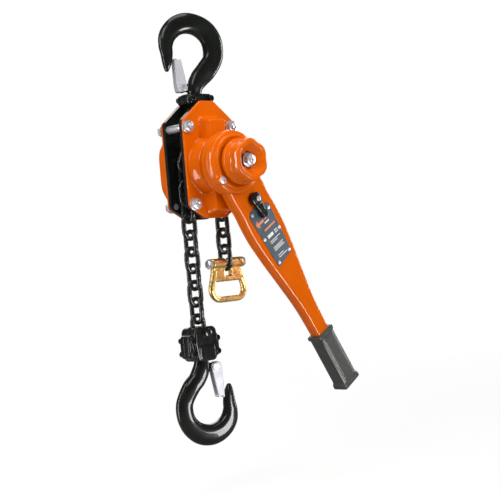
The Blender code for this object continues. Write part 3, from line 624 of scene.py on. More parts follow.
def swept(stations, count, power, loop=False, taper=0.0):
    """A bar in the XZ plane through stations (x, z, half depth, half thickness).

    taper makes the section thicker on the inside of the bend than on the outside.
    """
    rings = []
    total = len(stations)
    for i, (x, z, depth, thick) in enumerate(stations):
        ahead = stations[(i + 1) % total] if loop else stations[min(i + 1, total - 1)]
        behind = stations[i - 1] if loop else stations[max(i - 1, 0)]
        along = Vector((ahead[0] - behind[0], ahead[1] - behind[1])).normalized()
        ring = []
        for a, b in squircle(count, power):
            offset = depth * a
            width = thick * b * (1 + taper * a)
            ring.append((x - along[1] * offset, width, z + along[0] * offset))
        rings.append(ring)
    return skin(rings, loop)


def slope(value, low, high):
    """0 below low, 1 above high and a smooth step between them."""
    share = min(max((value - low) / (high - low), 0.0), 1.0)
    return share * share * (3 - 2 * share)


def both(place):
    """A place's mirror image on the left, and the place itself."""
    return ((-place[0], place[1]), place)


# ---- chain

def link_mesh():
    """One round link in the XZ plane, long along Z, with the bead of its weld on one side."""
    bow = (LINK_WIDTH - WIRE) / 2
    straight = (LINK_LENGTH - WIRE) / 2 - bow
    rings = []
    arc_steps, side_steps = 14, 8
    path = []
    for side in (1, -1):
        for step in range(arc_steps + 1):
            angle = math.pi * step / arc_steps
            path.append((side * bow * math.cos(angle), side * (straight + bow * math.sin(angle)), 0.0))
        for step in range(1, side_steps):
            share = step / side_steps
            z = side * straight * (1 - 2 * share)
            bead = math.exp(-((z / 1.6) ** 2)) if side > 0 else 0.0
            path.append((-side * bow, z, bead))
    radius = WIRE / 2
    for i, (x, z, bead) in enumerate(path):
        ahead, behind = path[(i + 1) % len(path)], path[i - 1]
        along = Vector((ahead[0] - behind[0], ahead[1] - behind[1])).normalized()
        ring = []
        for k in range(20):
            angle = 2 * math.pi * k / 20
            swell = radius + 0.35 * bead * (1 - 0.9 * max(0.0, math.cos(angle)))
            offset = swell * math.cos(angle)
            ring.append((x - along[1] * offset, swell * math.sin(angle), z + along[0] * offset))
        rings.append(ring)
    return skin(rings, loop=True)


def hanging_link(number, flat):
    turn = math.pi / 2 if flat else 0.0
    return placed(link_mesh(), (0, 0, -PITCH * (number - 0.5)), turn)


def make_chain():
    for end, (links, first_flat) in FALLS.items():
        place = Vector((centre(f"{end}_link_05").x, 0, HUB.z))
        for number in range(1, links + 1):
            upper = number <= JOINED_LINKS
            node = f"{end}_chain_upper" if upper else f"{end}_link_{number:02d}"
            body = f"{end}_fall" if upper else f"{end}_links"
            mesh = hanging_link(number, (number % 2 == 1) == first_flat)
            piece(f"{end}_chain_link_{number:02d}", mesh, "black_chain", body, (node,), place)
    for i in range(POCKETS):
        mesh = placed(link_mesh(), turn=math.pi / 2 if i % 2 == 0 else 0.0)
        placed(mesh, (LINK_RADIUS, 0, 0))
        placed(mesh, turn=-(i + 0.5) * LINK_ANGLE, axis="Y")
        piece(f"sheave_chain_link_{i + 1}", mesh, "black_chain", "sheave", ("sheave_chain",))


# ---- covers and their fastenings

def radius_at(outline, angle):
    """Distance from the hub to a closed outline in a direction."""
    ray = Vector((math.cos(angle), math.sin(angle)))
    best = 0.0
    for first, second in zip(outline, outline[1:] + outline[:1]):
        side = second - first
        cross = ray.x * side.y - ray.y * side.x
        if abs(cross) < 1e-9:
            continue
        distance = (first.x * side.y - first.y * side.x) / cross
        share = (first.x * ray.y - first.y * ray.x) / cross
        if distance > 0 and -1e-6 <= share <= 1 + 1e-6:
            best = max(best, distance)
    return best


def pressed_cover(height, side):
    """A pressed sheet over the body's outline; height(x, z) is how far it stands off its flange."""
    outline = arc_corners(BODY_OUTLINE, 8)
    corners = {math.atan2(p.y, p.x) % (2 * math.pi) for p in outline}
    angles = sorted(corners | {2 * math.pi * i / 260 for i in range(260)})
    reach = {a: radius_at(outline, a) for a in angles}
    roll = COVER_ROLL
    back = side * abs(FLANGE_BACK)
    front = side * abs(FLANGE_FRONT)
    count = 72
    rings = [[(reach[a], back) for a in angles], [(reach[a], front - side * roll) for a in angles]]
    for step in range(1, 5):
        turn = math.pi / 2 * step / 4
        inset, y = roll * (1 - math.cos(turn)), front - side * roll * (1 - math.sin(turn))
        rings.append([(reach[a] - inset, y) for a in angles])
    sheet = []
    for step in range(1, count + 1):
        share = step / count
        ring = []
        for a in angles:
            radius = (reach[a] - roll) * (1 - share) + COVER_BORE * share
            ring.append((radius, front + side * height(radius * math.cos(a), radius * math.sin(a))))
        sheet.append(ring)
    inner = [[(radius, y - side * COVER_WALL) for radius, y in ring] for ring in reversed(sheet)]
    made = []
    for ring in rings + sheet + inner:
        polar = zip(angles, ring)
        made.append([(radius * math.cos(a), y, radius * math.sin(a)) for a, (radius, y) in polar])
    return skin(made, loop=True)


def front_height(x, z):
    """A round dome for the brake, with a bar above and below it for the pawls' springs."""
    radius = math.hypot(x, z)
    full = abs(DOME_FRONT - FLANGE_FRONT)
    wall, shoulder, rim = slope(39.8 - radius, 0, 6), slope(36 - radius, 0, 9), slope(20 - radius, 0, 3)
    dome = full * (0.7 * wall + 0.19 * shoulder + 0.11 * rim)
    bar = 17.0 * slope(17.5 - abs(x), 0, 5.0) * slope(63 - z, 0, 8) * slope(z + 62, 0, 7)
    soft = 3.0
    blend = max(soft - abs(dome - bar), 0.0) * slope(min(dome, bar), 0, 2)
    return min(max(dome, bar) + blend * blend / (4 * soft), full)


def rear_height(x, z):
    """A flat-topped eight-sided bulge for the gears."""
    full = GEAR_BACK - abs(FLANGE_FRONT)
    total = 0.0
    sharpness = 0.45
    for (x0, z0), (x1, z1) in zip(GEAR_BULGE, GEAR_BULGE[1:] + GEAR_BULGE[:1]):
        normal = Vector((z1 - z0, x0 - x1)).normalized()
        if normal.x * x0 + normal.y * z0 < 0:
            normal = -normal
        total += math.exp(sharpness * (normal.x * (x - x0) + normal.y * (z - z0)))
    outside = math.log(total) / sharpness
    wall = 0.86 * slope(-outside, -1.5, 5.0) + 0.14 * slope(-outside, 3.0, 9.0)
    dish = 1.2 * slope(20 - math.hypot(x, z), 0, 4) * (1 - slope(12 - math.hypot(x, z), 0, 4))
    return full * wall - dish


def make_covers():
    front = pressed_cover(front_height, -1)
    piece("brake_cover_pressing", front, "orange_paint", "frame", ("brake_cover",))
    rear = pressed_cover(rear_height, 1)
    rim = COVER_BORE + 1.5
    profile = shifted(((rim, -3.5, 0), (rim, -1.4, 0.8), (4.0, -0.9, 1.0), (1.0, -1.6, 0)), GEAR_BACK)
    plug = lathe(profile, 64)
    piece("gear_cover_pressing", rear, "orange_paint", "frame", ("gear_cover",))
    piece("gear_cover_cap", plug, "orange_paint", "frame")


def fastener(place, side, end=30.5):
    """Washer, nut and threaded end on one side of the body."""
    start = abs(FLANGE_FRONT) + 0.05
    return merged(washer(7.9, side * start, side * (start + 1.3), place),
                  hex_body(NUT_FLATS, side * (start + 1.2), side * NUT_END, place),
                  threaded(STUD_RADIUS, side * (NUT_END - 1.5), side * end, place))


def make_stays():
    for node, place in (("stay_bolt_left", both(TOP_STAY)[0]), ("stay_bolt_right", TOP_STAY),
                        ("stay_bolt_bottom", BOTTOM_STAY)):
        spacer = lathe([(3.9, -18.6, 0), (3.9, -13.7, 0), (5.0, -13.7, 0.5), (5.0, 13.7, 0.5),
                        (3.9, 13.7, 0), (3.9, 18.2, 0)], 48, place)
        parts = [spacer, fastener(place, -1)]
        if node != "stay_bolt_bottom":
            parts.append(fastener(place, 1))
        piece(f"{node}_bolt", merged(*parts), "zinc", "frame", (node,))
    for side, end in ((-1, "front"), (1, "rear")):
        for place, hand in zip(both(STUD_PLACE), ("left", "right")):
            node = f"cover_stud_{end}_{hand}"
            stud = merged(fastener(place, side, end=29.8),
                          lathe([(STUD_RADIUS, side * 14.4, 0), (STUD_RADIUS, side * 18.6, 0)], 32, place))
            piece(f"{node}_bolt", stud, "zinc", "frame", (node,))


# ---- lever

def along_lever(mesh):
    return placed(mesh, turn=math.pi / 2 - LEVER_ANGLE, axis="Y")


def lever_outline():
    """The lever along +X: a round head whose edge runs in one sweep into the tapered arm."""
    points = []
    start = math.asin(ARM_WIDTHS[0][1] / HEAD_RADIUS)
    for step in range(61):
        angle = start + (2 * math.pi - 2 * start) * step / 60
        points.append(Vector((HEAD_RADIUS * math.cos(angle), HEAD_RADIUS * math.sin(angle))))
    first = points[-1]
    stations = [(first.x, -first.y)] + list(ARM_WIDTHS)
    lower = [Vector((s, -half)) for s, half in smooth_through(stations, 6)][1:-1]
    upper = [Vector((p.x, -p.y)) for p in reversed(lower)]
    (s, half), (end, end_half) = stations[-1], ARM_END
    tongue = ((s, -half, 0), (end, -end_half, 5.5), (end, end_half, 5.5), (s, half, 0))
    return points + lower + arc_corners(tongue, 6, closed=False) + upper


def make_lever():
    outline = evened(lever_outline(), 3.0)
    rear = rolled(outline, LEVER_BACK, LEVER_SPLIT + 0.15, 3.2, 0.35)
    rear = cut(along_lever(rear), lathe([(12.4, LEVER_SPLIT - 4, 0), (12.4, LEVER_BACK + 4, 0)], 48))
    piece("lever_rear_pressing", rear, "orange_paint", "lever", ("lever_rear_shell",))

    front = along_lever(rolled(outline, LEVER_SPLIT - 0.15, LEVER_FACE, 0.35, 3.6, 7))
    head = lathe([(20, LEVER_SPLIT - 1, 0), (39.8, LEVER_SPLIT - 1, 0), (39.2, LEVER_FACE - 4.4, 3.6),
                  (34.6, LEVER_FACE - 5.0, 0.8), (33.6, HEAD_FRONT, 1.6), (30.8, HEAD_FRONT, 1.0),
                  (30.0, HEAD_FRONT + 1.3, 0.4), (12.0, HEAD_FRONT + 1.6, 0)], 120)
    front = joined(front, head)
    profile = [(5.9, LEVER_FACE + 2, 0), (5.7, HEAD_FRONT + 0.1, 0.7), (1, HEAD_FRONT + 0.1, 0)]
    for place in CASE_SCREWS:
        front = joined(front, lathe(profile, 40, place))
    front = cut(front, lathe([(10.4, -80, 0), (10.4, -50, 0)], 48))
    piece("lever_front_pressing", front, "orange_paint", "lever", ("lever_front_shell",), sharp=32)
    profile = shifted(((1, 1, 0), (4.6, 1, 0), (4.6, -1.4, 0.8), (2.9, -2.2, 0.3), (2.5, -2.2, 0),
                       (2.4, -0.8, 0), (0.6, -0.6, 0)), HEAD_FRONT)
    for number, place in enumerate(CASE_SCREWS, 1):
        screw = lathe(profile, 48, place)
        piece(f"lever_case_screw_{number}_head", screw, "zinc", "lever", (f"lever_case_screw_{number}",))


def grip_section(half, thick, ribbed):
    """A rectangle with small round corners.

    ribbed adds a bead and a groove along the edges of its broad faces.
    """
    corners = ((-half, -thick, 2.4), (half, -thick, 2.4), (half, thick, 2.4), (-half, thick, 2.4))
    made = []
    for point in evened(arc_corners(corners, 6), 0.55):
        x, y = point
        if ribbed and abs(y) > thick - 0.3:
            bead = math.exp(-(((abs(x) - half + 3.6) / 1.0) ** 2))
            groove = math.exp(-(((abs(x) - half + 6.0) / 0.5) ** 2))
            y += math.copysign(0.9 * bead - 0.4 * groove, y)
        made.append((x, y))
    return made


def make_grip():
    low, high = GRIP_RANGE
    length = high - low
    shape = ((0, 13.6, 9.8), (0.5, 15.2, 11.1), (1.3, 15.8, 11.5), (4.4, 15.8, 11.5), (5.6, 15.0, 10.8),
             (7.0, 14.4, 10.1), (20, 14.4, 10.1), (50, 14.5, 10.1), (74, 14.6, 10.1),
             (77, 15.2, 10.5), (79, 16.2, 11.3), (80.4, 16.5, 11.5), (83.6, 16.5, 11.5),
             (84.9, 15.8, 11.0), (length, 14.6, 9.8))
    count = len(grip_section(15, 10.5, False))
    rings = []
    for s, half, thick in shape:
        section = resampled(grip_section(half, thick, ribbed=6 < s < 76), count)
        rings.append([(low + s, LEVER_SPLIT + y, x) for x, y in section])
    grip = along_lever(skin(rings))
    piece("lever_grip_sleeve", grip, "grip_rubber", "lever", ("lever_grip",), sharp=50)


def printed(outline, y):
    """A print on the name plate from its outline, measured along and across the lever."""
    rings = [[(p.x, level, p.y) for p in outline] for level in (y, y - PRINT_DEPTH)]
    return along_lever(skin(rings))


def strip(s, t0, t1, width, y):
    """A printed bar across the lever from t0 to t1."""
    out = Vector((-width / 2, 0))
    start, end = Vector((s, t0)), Vector((s, t1))
    return printed([start + out, start - out, end - out, end + out], y)


def make_name_plate():
    face = LEVER_FACE - 1.2
    corners = ((64.5, -14, 3), (64.5, 4, 6), (71, 19, 4), (142, 15.5, 3), (147, -15.5, 3), (69, -20, 3))
    blank = plate(corners, 6, 2.5, LEVER_FACE + 0.3, face, 0.2, 0.4)
    piece("name_plate_blank", along_lever(blank), "label", "lever", ("name_plate",))
    profile = shifted(((2.5, 0.5, 0), (2.5, -0.35, 0.3), (1.7, -1.0, 0.6), (0.4, -1.3, 0)), face)
    places = ((69.5, -14.5), (76, 14.5), (105, -15.8), (106, 14.6), (142, -12.2), (138.5, 11.8))
    rivets = [along_lever(lathe(profile, 32, place)) for place in places]
    piece("name_plate_rivets", merged(*rivets), "zinc", "lever")
    arrow = ((84, -17.5), (89.5, -12.5), (86, -12), (85.5, -2), (82.5, -2.3), (82.8, -12.2), (79, -13))
    arrow = printed([Vector(point) for point in arrow], face)
    bars = [strip(96, -9, 13, 2.2, face), strip(83, 0, 4, 3.0, face)]
    piece("name_plate_arrow", merged(arrow, *bars), "print_orange", "lever")
    rows = ((88.5, -3, 6, 1.5), (106, -9, 2, 4.2), (104.6, 5, 11, 1.3), (107.6, 5, 11, 1.3),
            (113, -9, 11, 0.9), (115.5, -9, 4, 0.9), (122, -9, 11, 0.9), (124.2, -9, 9, 0.9),
            (126.4, -9, 11, 0.9), (134, -8, 3, 0.9), (137, -8, 9, 0.9))
    lines = [strip(*row, face) for row in rows]
    piece("name_plate_lines", merged(*lines), "print_white", "lever")


def make_selector():
    place = HUB + SELECTOR_DISTANCE * Vector((math.sin(LEVER_ANGLE), 0, -math.cos(LEVER_ANGLE)))
    boss = lathe([(2, -61.4, 0), (8.5, -61.5, 0.6), (8.5, -68.6, 1.2), (6.4, -69.2, 0.5),
                  (6.0, -71.0, 0.8), (2, -71.0, 0)], 72)
    arm = [(-1, -6.4, 2), (-1, 6.4, 2), (9, 6.3, 3), (15, 5.0, 5), (20.5, 5.6, 4), (27, 5.6, 4.5),
           (27, -5.6, 4.5), (20.5, -5.6, 4), (15, -5.0, 5), (9, -6.3, 3)]
    blade = along_lever(plate(arm, 6, 1.2, -63.9, -68.4, 0.7, 1.4))
    pad = [(18, -4.6, 2), (18, 4.6, 2), (26.2, 4.6, 3.5), (26.2, -4.6, 3.5)]
    raised = along_lever(plate(pad, 6, 1.2, -67, -70.2, 0.4, 1.0))
    piece("selector_handle", fused(0.45, 2, boss, blade, raised), "black_paint", "selector",
          ("selector_lever",), place, sharp=60)
    pin = lathe([(1, -70.2, 0), (3.6, -70.2, 0), (3.5, -72.2, 0.6), (1, -72.4, 0)], 40)
    piece("selector_pin", pin, "zinc", "selector", (), place)


# ---- knob and its spring

SPRING_COIL = (7.2, 0.6, 2.5, 28)
SPRING_RANGE = (-82.9, -86.4)


def knob_lobes(angle, y):
    """Six shallow scallops round the knob that fade out towards its skirt."""
    fade = slope(KNOB_BACK - 9 - y, 0, 5)
    return 1 - 0.075 * fade * (0.5 - 0.5 * math.cos(6 * angle + math.pi)) ** 1.5


def make_knob():
    outside = ((20.0, -3, 0), (22.0, 0, 0.6), (SKIRT_RADIUS - 0.6, 0, 1.2), (SKIRT_RADIUS, -6.0, 1.6),
               (25.6, -8.6, 1.5), (25.0, -11, 2.0), (26.6, -19, 4.0))
    bowl = ((26.0, 0, 2.4), (20.5, 0, 2.5), (10.8, 8.2, 1.2), (10.4, 13.5, 0.4), (5.0, 14.0, 0))
    profile = shifted(outside, KNOB_BACK) + shifted(bowl, KNOB_FRONT)
    knob = lathe(profile, 144, steps=6, lobes=knob_lobes)
    piece("hand_knob_casting", knob, "orange_paint", "knob", ("hand_knob",), sharp=45)
    nut = merged(washer(9.0, -87.3, -88.8), hex_body(NUT_FLATS, -88.7, -94.0))
    piece("shaft_nut_hex", nut, "zinc", "pinion", ("shaft_nut",))
    piece("shaft_end_thread", threaded(4.25, -93.0, -95.2), "zinc", "pinion")
    radius, wire, turns, steps = SPRING_COIL
    start, end = SPRING_RANGE
    rings = []
    total = int(turns * steps)
    for i in range(total + 1):
        angle = 2 * math.pi * i / steps
        y = start + (end - start) * i / total
        ring = []
        for k in range(10):
            phi = 2 * math.pi * k / 10
            reach = radius + wire * math.cos(phi)
            ring.append((reach * math.cos(angle), y + wire * math.sin(phi), reach * math.sin(angle)))
        rings.append(ring)
    spring = piece("knob_spring_coil", skin(rings), "steel", "pinion", ("knob_spring",))
    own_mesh(spring)


# ---- hooks

def hook_path(neck, swell):
    """The hook's stations from its tip round the bowl to the shank; swell deepens its back."""
    stations = [(BOWL_OFFSET + 30.4, 25.0, 2.6, 3.4), (BOWL_OFFSET + 30.0, 21, 4.2, 5.2),
                (BOWL_OFFSET + 29.4, 16, 5.7, 6.2), (BOWL_OFFSET + 28.9, 10, 7.0, 6.8)]
    depths = ((4, 7.9), (-12, 9), (-35, 11), (-60, 12.4), (-85, 13.3), (-110, 13.3),
              (-135, 12.2 + 0.6 * swell), (-160, 11.15 + swell), (-185, 10.75 + swell),
              (-205, 10.65 + swell))
    for degrees, depth in depths:
        angle = math.radians(degrees)
        reach = BOWL_RADIUS + depth
        thick = min(10, 6.6 + 0.42 * (depth - 6))
        stations.append((BOWL_OFFSET + reach * math.cos(angle), reach * math.sin(angle), depth, thick))
    rise = (49 + neck - 22) / 3
    stations += [(-16 - 0.4 * swell, 22 + rise * 0.45, 11 + swell, 10),
                 (-7.3 - 0.5 * swell, 22 + rise * 1.2, 10.8 + 0.7 * swell, 10),
                 (-1.6, 22 + rise * 2.1, 10.4, 10), (0, 49 + neck, 8.6, 8.6), (0, 58 + neck, 8.6, 8.6)]
    path = smooth_through(stations, 6)
    nose = []
    x, z, depth, thick = path[0]
    for share in (0.98, 0.85, 0.6, 0.3):
        bulge = math.sqrt(1 - share * share)
        size = max(bulge, 0.1)
        nose.append((x + 0.25 * (1 - bulge), z + 1.6 * share, depth * size, thick * size))
    return nose + path


def flipped(mesh, up):
    bmesh.ops.scale(mesh, vec=(up, 1, up), verts=mesh.verts)
    return placed(mesh, turn=HOOK_TURN)


def latch_pivot(neck):
    return (16.0, 42.0 + 0.8 * neck)


def make_hook(name, body, bowl, neck, up, swell=0.0):
    pivot = latch_pivot(neck)
    bar = swept(hook_path(neck, swell), 32, 2.5, taper=-0.1)
    lug = lathe([(2, -4.2, 0), (6.2, -4.2, 0.8), (6.2, 4.2, 0.8), (2, 4.2, 0)], 40, pivot)
    low, high = pivot[1] - 5.2, pivot[1] + 5.2
    corners = ((-4, low, 0), (-4, high, 0), (pivot[0], high, 0), (pivot[0], low, 0))
    web = plate(corners, 3, 1.5, -3.9, 3.9, 0.8, 0.8)
    forging = fused(0.95, 4, bar, lug, web)
    piece(f"{name}_forging", flipped(forging, up), "black_paint", body, (name,), bowl, sharp=70)
    collar = placed(upright(11, 0, 5), (0, 0, 56 + neck - 0.5))
    piece(f"{name}_collar", flipped(collar, up), "steel", body, (), bowl)


def make_latch(name, body, hook_body, bowl, neck, up):
    """A pressed channel with a slot in its back, and its pin."""
    pivot = Vector(latch_pivot(neck))
    reach = Vector(LATCH_TIP) - pivot
    length = reach.length
    turn = math.atan2(reach[1], reach[0])
    outer = ((-5, 8.4, 3), (5, 8.4, 6), (length, 4, 1.5), (length, -4.5, 3), (-5, -5.5, 4))
    inner = ((-13, 7.1, 0), (5.2, 7.1, 5), (length - 2.6, 2.7, 1), (length - 2.6, -12, 0), (-13, -12, 0))
    sheet = plate(outer, 6, 1.5, -6.5, 6.5, 1.0, 1.0)
    hollow = plate(inner, 4, 2.0, -5.2, 5.2, 0.6, 0.6)
    slot = block((6, -1.3, -1), (length - 11, 1.3, 14))
    mouth = lathe([(4.5, -20, 0), (4.5, 20, 0)], 40, (length + 1.6, -1.5))
    sheet = cut(sheet, hollow, slot, mouth)

    def to_hook(mesh):
        return flipped(placed(mesh, (pivot[0], 0, pivot[1]), -turn, "Y"), up)
    piece(f"{name}_sheet", to_hook(sheet), "latch_plating", body, (name,), bowl, sharp=32)
    pin = lathe([(1, -8.0, 0), (3.9, -8.0, 0.5), (4.2, -6.7, 0.2), (2.4, -6.7, 0), (2.4, 6.7, 0),
                 (4.2, 6.7, 0.2), (3.9, 8.0, 0.5), (1, 8.0, 0)], 40)
    piece(f"{name}_pin_rivet", to_hook(pin), "zinc", hook_body, (f"{name}_pin",), bowl)


# ---- yoke and anchor block

def cap_screw(radius, y0, y1, place):
    """A round-headed screw with a hexagon socket, its head from y0 to y1 along Y."""
    sign = 1 if y1 > y0 else -1
    head = lathe([(1, y0, 0), (radius, y0, 0), (radius, y1, 0.7), (1, y1, 0)], 40, place)
    socket = hex_body(radius * 0.95, y1 - sign * 1.6, y1 + sign * 2, place, 36)
    return cut(head, socket)


def make_yoke():
    outline = ((-20, 93, 6.5), (20, 93, 6.5), (21, 80, 6.5), (12, 76, 5), (11, 63, 7),
               (-11, 63, 7), (-12, 76, 5), (-21, 80, 6.5))
    for name, side in (("top_yoke_front", -1), ("top_yoke_rear", 1)):
        half = plate(outline, 8, 1.5, side * 0.15, side * 13, 0.4, 4.4, 6)
        bore = lathe([(5.3, -30, 0), (5.3, 30, 0)], 40, (0, 72))
        half = cut(half, upright(9.4, 84, 100), upright(11.4, 80.6, 87.4), bore)
        piece(f"{name}_half", half, "black_paint", "top_yoke", (name,))
        screws = [cap_screw(4.0, side * 12.6, side * 15.5, (x, 86.5)) for x in (-15.0, 15.0)]
        piece(f"{name}_screws", merged(*screws), "black_paint", "top_yoke")


def make_anchor():
    low = ANCHOR_LOW
    body = ((-17, 8, 8), (17, 8, 8), (18.5, -12, 6), (15, low, 6), (-15, low, 6), (-18.5, -12, 6))
    lobes = ((-25, -1, 6), (25, -1, 6), (25, -31, 6), (-25, -31, 6))
    waist = ((-12.5, -15, 3), (12.5, -15, 3), (12.5, -33, 5), (-12.5, -33, 5))
    for name, side in (("anchor_block_front", -1), ("anchor_block_rear", 1)):
        half = fused(0.6, 3, plate(body, 6, 1.2, side * 0.2, side * 14.2, 0.2, 2.2),
                     plate(waist, 6, 1.2, side * 10, side * 15, 0.2, 1.5),
                     plate(lobes, 6, 1.2, side * 0.2, side * 9, 0.2, 2.0))
        half = cut(half, block((-14.5, -4.4, -13), (14.5, 4.4, 20)), upright(9.5, low - 5, low + 8),
                   upright(11.5, low + 6, low + 13))
        piece(f"{name}_half", half, "black_paint", "anchor", (name,), ANCHOR, sharp=50)
        places = [(x, z) for x in (-20.6, 20.6) for z in (-8, -24.5)]
        screws = [cap_screw(3.8, side * 8.6, side * 12.5, place) for place in places]
        piece(f"{name}_screws", merged(*screws), "black_paint", "anchor", (), ANCHOR)
    pin = merged(lathe([(3.6, -15.5, 0), (3.6, 14, 0.4), (1, 14, 0)], 40), washer(6.6, -15.1, -15.6),
                 hex_body(10.0, -15.5, -19.4))
    piece("anchor_pin_bolt", pin, "black_paint", "anchor", ("anchor_pin",), ANCHOR)


# ---- end ring

def make_end_ring():
    loop = ((-20, -6, 6), (-32, -46, 13), (32, -46, 13), (20, -6, 6))
    path = [(p.x, p.y, 4.0, 4.0) for p in evened(arc_corners(loop, 10), 2.0)]
    barrel = crosswise(7.0, -25, 25, 1.0)
    corners = ((5.5, 0, 0), (23.5, 0, 0), (25.5, -20, 4), (13, -23.5, 4), (5.5, -18, 0))
    webs = [plate([(side * x, z, radius) for x, z, radius in corners], 4, 1.5, -3.6, 3.6, 1.2, 1.2)
            for side in (-1, 1)]
    bar = swept([(x, -19.5, 4.0, 4.0) for x in (-22, -8, 8, 22)], 24, 2.4)
    casting = fused(0.62, 5, barrel, bar, swept(path, 24, 2.3, loop=True), *webs)
    casting = cut(casting, block((-4.8, -14, -15.5), (4.8, 14, 14)), crosswise(3.9, -40, 40))
    piece("end_ring_casting", casting, "brass", "ring", ("end_ring",), RING, sharp=55)
    bolt = merged(crosswise(3.6, -27, 28.8, 0.4),
                  placed(hex_body(11.0, 25.4, 30.3), turn=math.pi / 2),
                  placed(hex_body(11.0, -30.3, -25.3), turn=math.pi / 2))
    piece("end_ring_bolt_hex", bolt, "zinc", "ring", ("end_ring_bolt",), RING)


# ---- carried-over parts

def dress_frame():
    """Softens the edges of the CAD parts that stay and gives them their finishes."""
    slots = {row["node"]: row["material_slot"] for row in frame["record"]["subparts"]}
    for name, obj in frame["nodes"].items():
        obj.data.materials.clear()
        obj.data.materials.append(FINISHES[slots[name]])
        if obj.hide_render:
            continue
        modifier = obj.modifiers.new("edges", "BEVEL")
        modifier.width = 0.35 * MM
        modifier.segments = 2
        modifier.limit_method = "ANGLE"
        modifier.angle_limit = math.radians(35)


# ---- studio

def make_camera():
    back = Vector((math.sin(CAMERA_AZIMUTH), -math.cos(CAMERA_AZIMUTH), 0))
    level = Vector((math.cos(CAMERA_AZIMUTH), math.sin(CAMERA_AZIMUTH), 0))
    up = Vector((0, 0, 1))
    right = level * math.cos(CAMERA_ROLL) - up * math.sin(CAMERA_ROLL)
    rise = level * math.sin(CAMERA_ROLL) + up * math.cos(CAMERA_ROLL)
    aim = HUB * MM - right * HUB_IN_FRAME[0] - rise * HUB_IN_FRAME[1]
    data = bpy.data.cameras.new("camera")
    data.lens = CAMERA_LENS
    data.clip_end = 30
    camera = added("camera", data)
    place = aim + back * CAMERA_DISTANCE
    camera.matrix_world = Matrix((
        (right.x, rise.x, back.x, place.x), (right.y, rise.y, back.y, place.y),
        (right.z, rise.z, back.z, place.z), (0, 0, 0, 1)))
    bpy.context.scene.camera = camera


def area_light(name, azimuth, elevation, distance, size, power, roll=0.0, glow=True, shine=True):
    """A soft light that faces the object's middle; roll turns it about the line to the object.

    Without glow it is only seen in reflections, and without shine it only gives diffuse light.
    """
    a, e = math.radians(azimuth), math.radians(elevation)
    back = Vector((math.sin(a) * math.cos(e), -math.cos(a) * math.cos(e), math.sin(e)))
    data = bpy.data.lights.new(name, "AREA")
    data.shape = "RECTANGLE"
    data.size, data.size_y = size
    data.energy = power
    light = added(name, data)
    light.location = LIGHTS_AIM + back * distance
    light.rotation_mode = "QUATERNION"
    light.rotation_quaternion = back.to_track_quat("Z", "Y") @ Quaternion((0, 0, 1), math.radians(roll))
    light.visible_camera = False
    light.visible_diffuse = glow
    light.visible_glossy = shine


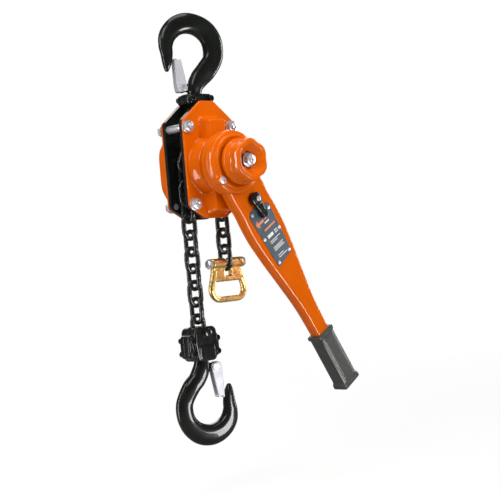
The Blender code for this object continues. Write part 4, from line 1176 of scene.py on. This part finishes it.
def make_studio():
    world = bpy.data.worlds.new("studio")
    bpy.context.scene.world = world
    world.use_nodes = True
    nodes, links = world.node_tree.nodes, world.node_tree.links
    shown = nodes["Background"]
    shown.inputs["Color"].default_value = (1, 1, 1, 1)
    shown.inputs["Strength"].default_value = 1.0
    soft = nodes.new("ShaderNodeBackground")
    soft.inputs["Color"].default_value = (1.0, 0.98, 0.96, 1)
    path = nodes.new("ShaderNodeLightPath")
    strength = ramp(nodes, links, path.outputs["Is Glossy Ray"], 0, 1, SOFT_LIGHT, SOFT_REFLECTION)
    links.new(strength, soft.inputs["Strength"])
    mix = nodes.new("ShaderNodeMixShader")
    links.new(path.outputs["Is Camera Ray"], mix.inputs["Fac"])
    links.new(soft.outputs["Background"], mix.inputs[1])
    links.new(shown.outputs["Background"], mix.inputs[2])
    links.new(mix.outputs["Shader"], nodes["World Output"].inputs["Surface"])
    area_light("key", -72, 40, 1.5, (0.6, 0.8), 7)
    area_light("strip_left", -118, 4, 1.1, (0.1, 1.4), 8, glow=False)
    area_light("strip_low", -108, -19, 0.85, (0.08, 0.5), 1.2)
    area_light("fill_front", 5, 20, 1.7, (0.9, 0.9), 13, shine=False)
    area_light("glint_front", 11, -21, 1.35, (0.4, 0.62), 20, roll=29, glow=False)
    area_light("strip_right", 70, 8, 1.2, (0.16, 0.9), 11, glow=False)
    area_light("top", -30, 82, 1.3, (0.8, 0.8), 6)
    area_light("behind", 150, 25, 1.6, (1.0, 1.2), 10)


def make_floor():
    """A pale round floor well under the hoist, which fades into the background at its rim."""
    level = CAD_BOX[0].z - FLOOR_DROP
    count = FLOOR_SEGMENTS
    angles = [2 * math.pi * i / count for i in range(count)]
    mesh = bmesh.new()
    rings = []
    for radius in (0.02, 0.5, 1.0, 1.6, 2.2):
        rings.append([mesh.verts.new((radius * math.cos(a), radius * math.sin(a), level)) for a in angles])
    for low, high in zip(rings, rings[1:]):
        for i in range(count):
            mesh.faces.new((low[i], low[(i + 1) % count], high[(i + 1) % count], high[i]))
    mesh.faces.new(rings[0])
    floor = mesh_object("floor", mesh)
    material, nodes, links = node_material("pale_floor")
    shader = nodes["Principled BSDF"]
    place = nodes.new("ShaderNodeTexCoord").outputs["Object"]
    shade = mixed(nodes, links, noise(nodes, links, place, 3.0), (0.86, 0.86, 0.86), (0.9, 0.9, 0.9))
    links.new(shade, shader.inputs["Base Color"])
    shader.inputs["Roughness"].default_value = 0.6
    length = nodes.new("ShaderNodeVectorMath")
    length.operation = "LENGTH"
    links.new(place, length.inputs[0])
    fade = ramp(nodes, links, length.outputs["Value"], 0.2, 1.7, 0.34, 0.0)
    links.new(fade, shader.inputs["Alpha"])
    floor.data.materials.append(material)


make_camera()
make_studio()
make_floor()
make_chain()
make_covers()
make_stays()
make_lever()
make_grip()
make_name_plate()
make_selector()
make_knob()
make_hook("top_hook", "top_hook", TOP_BOWL, TOP_NECK, -1, swell=2.45)
make_latch("top_latch", "top_latch", "top_hook", TOP_BOWL, TOP_NECK, -1)
make_hook("load_hook", "load_hook", LOAD_BOWL, LOAD_NECK, 1)
make_latch("load_latch", "load_latch", "load_hook", LOAD_BOWL, LOAD_NECK, 1)
make_yoke()
make_anchor()
make_end_ring()
dress_frame()
bpy.context.scene.view_settings.view_transform = "Standard"
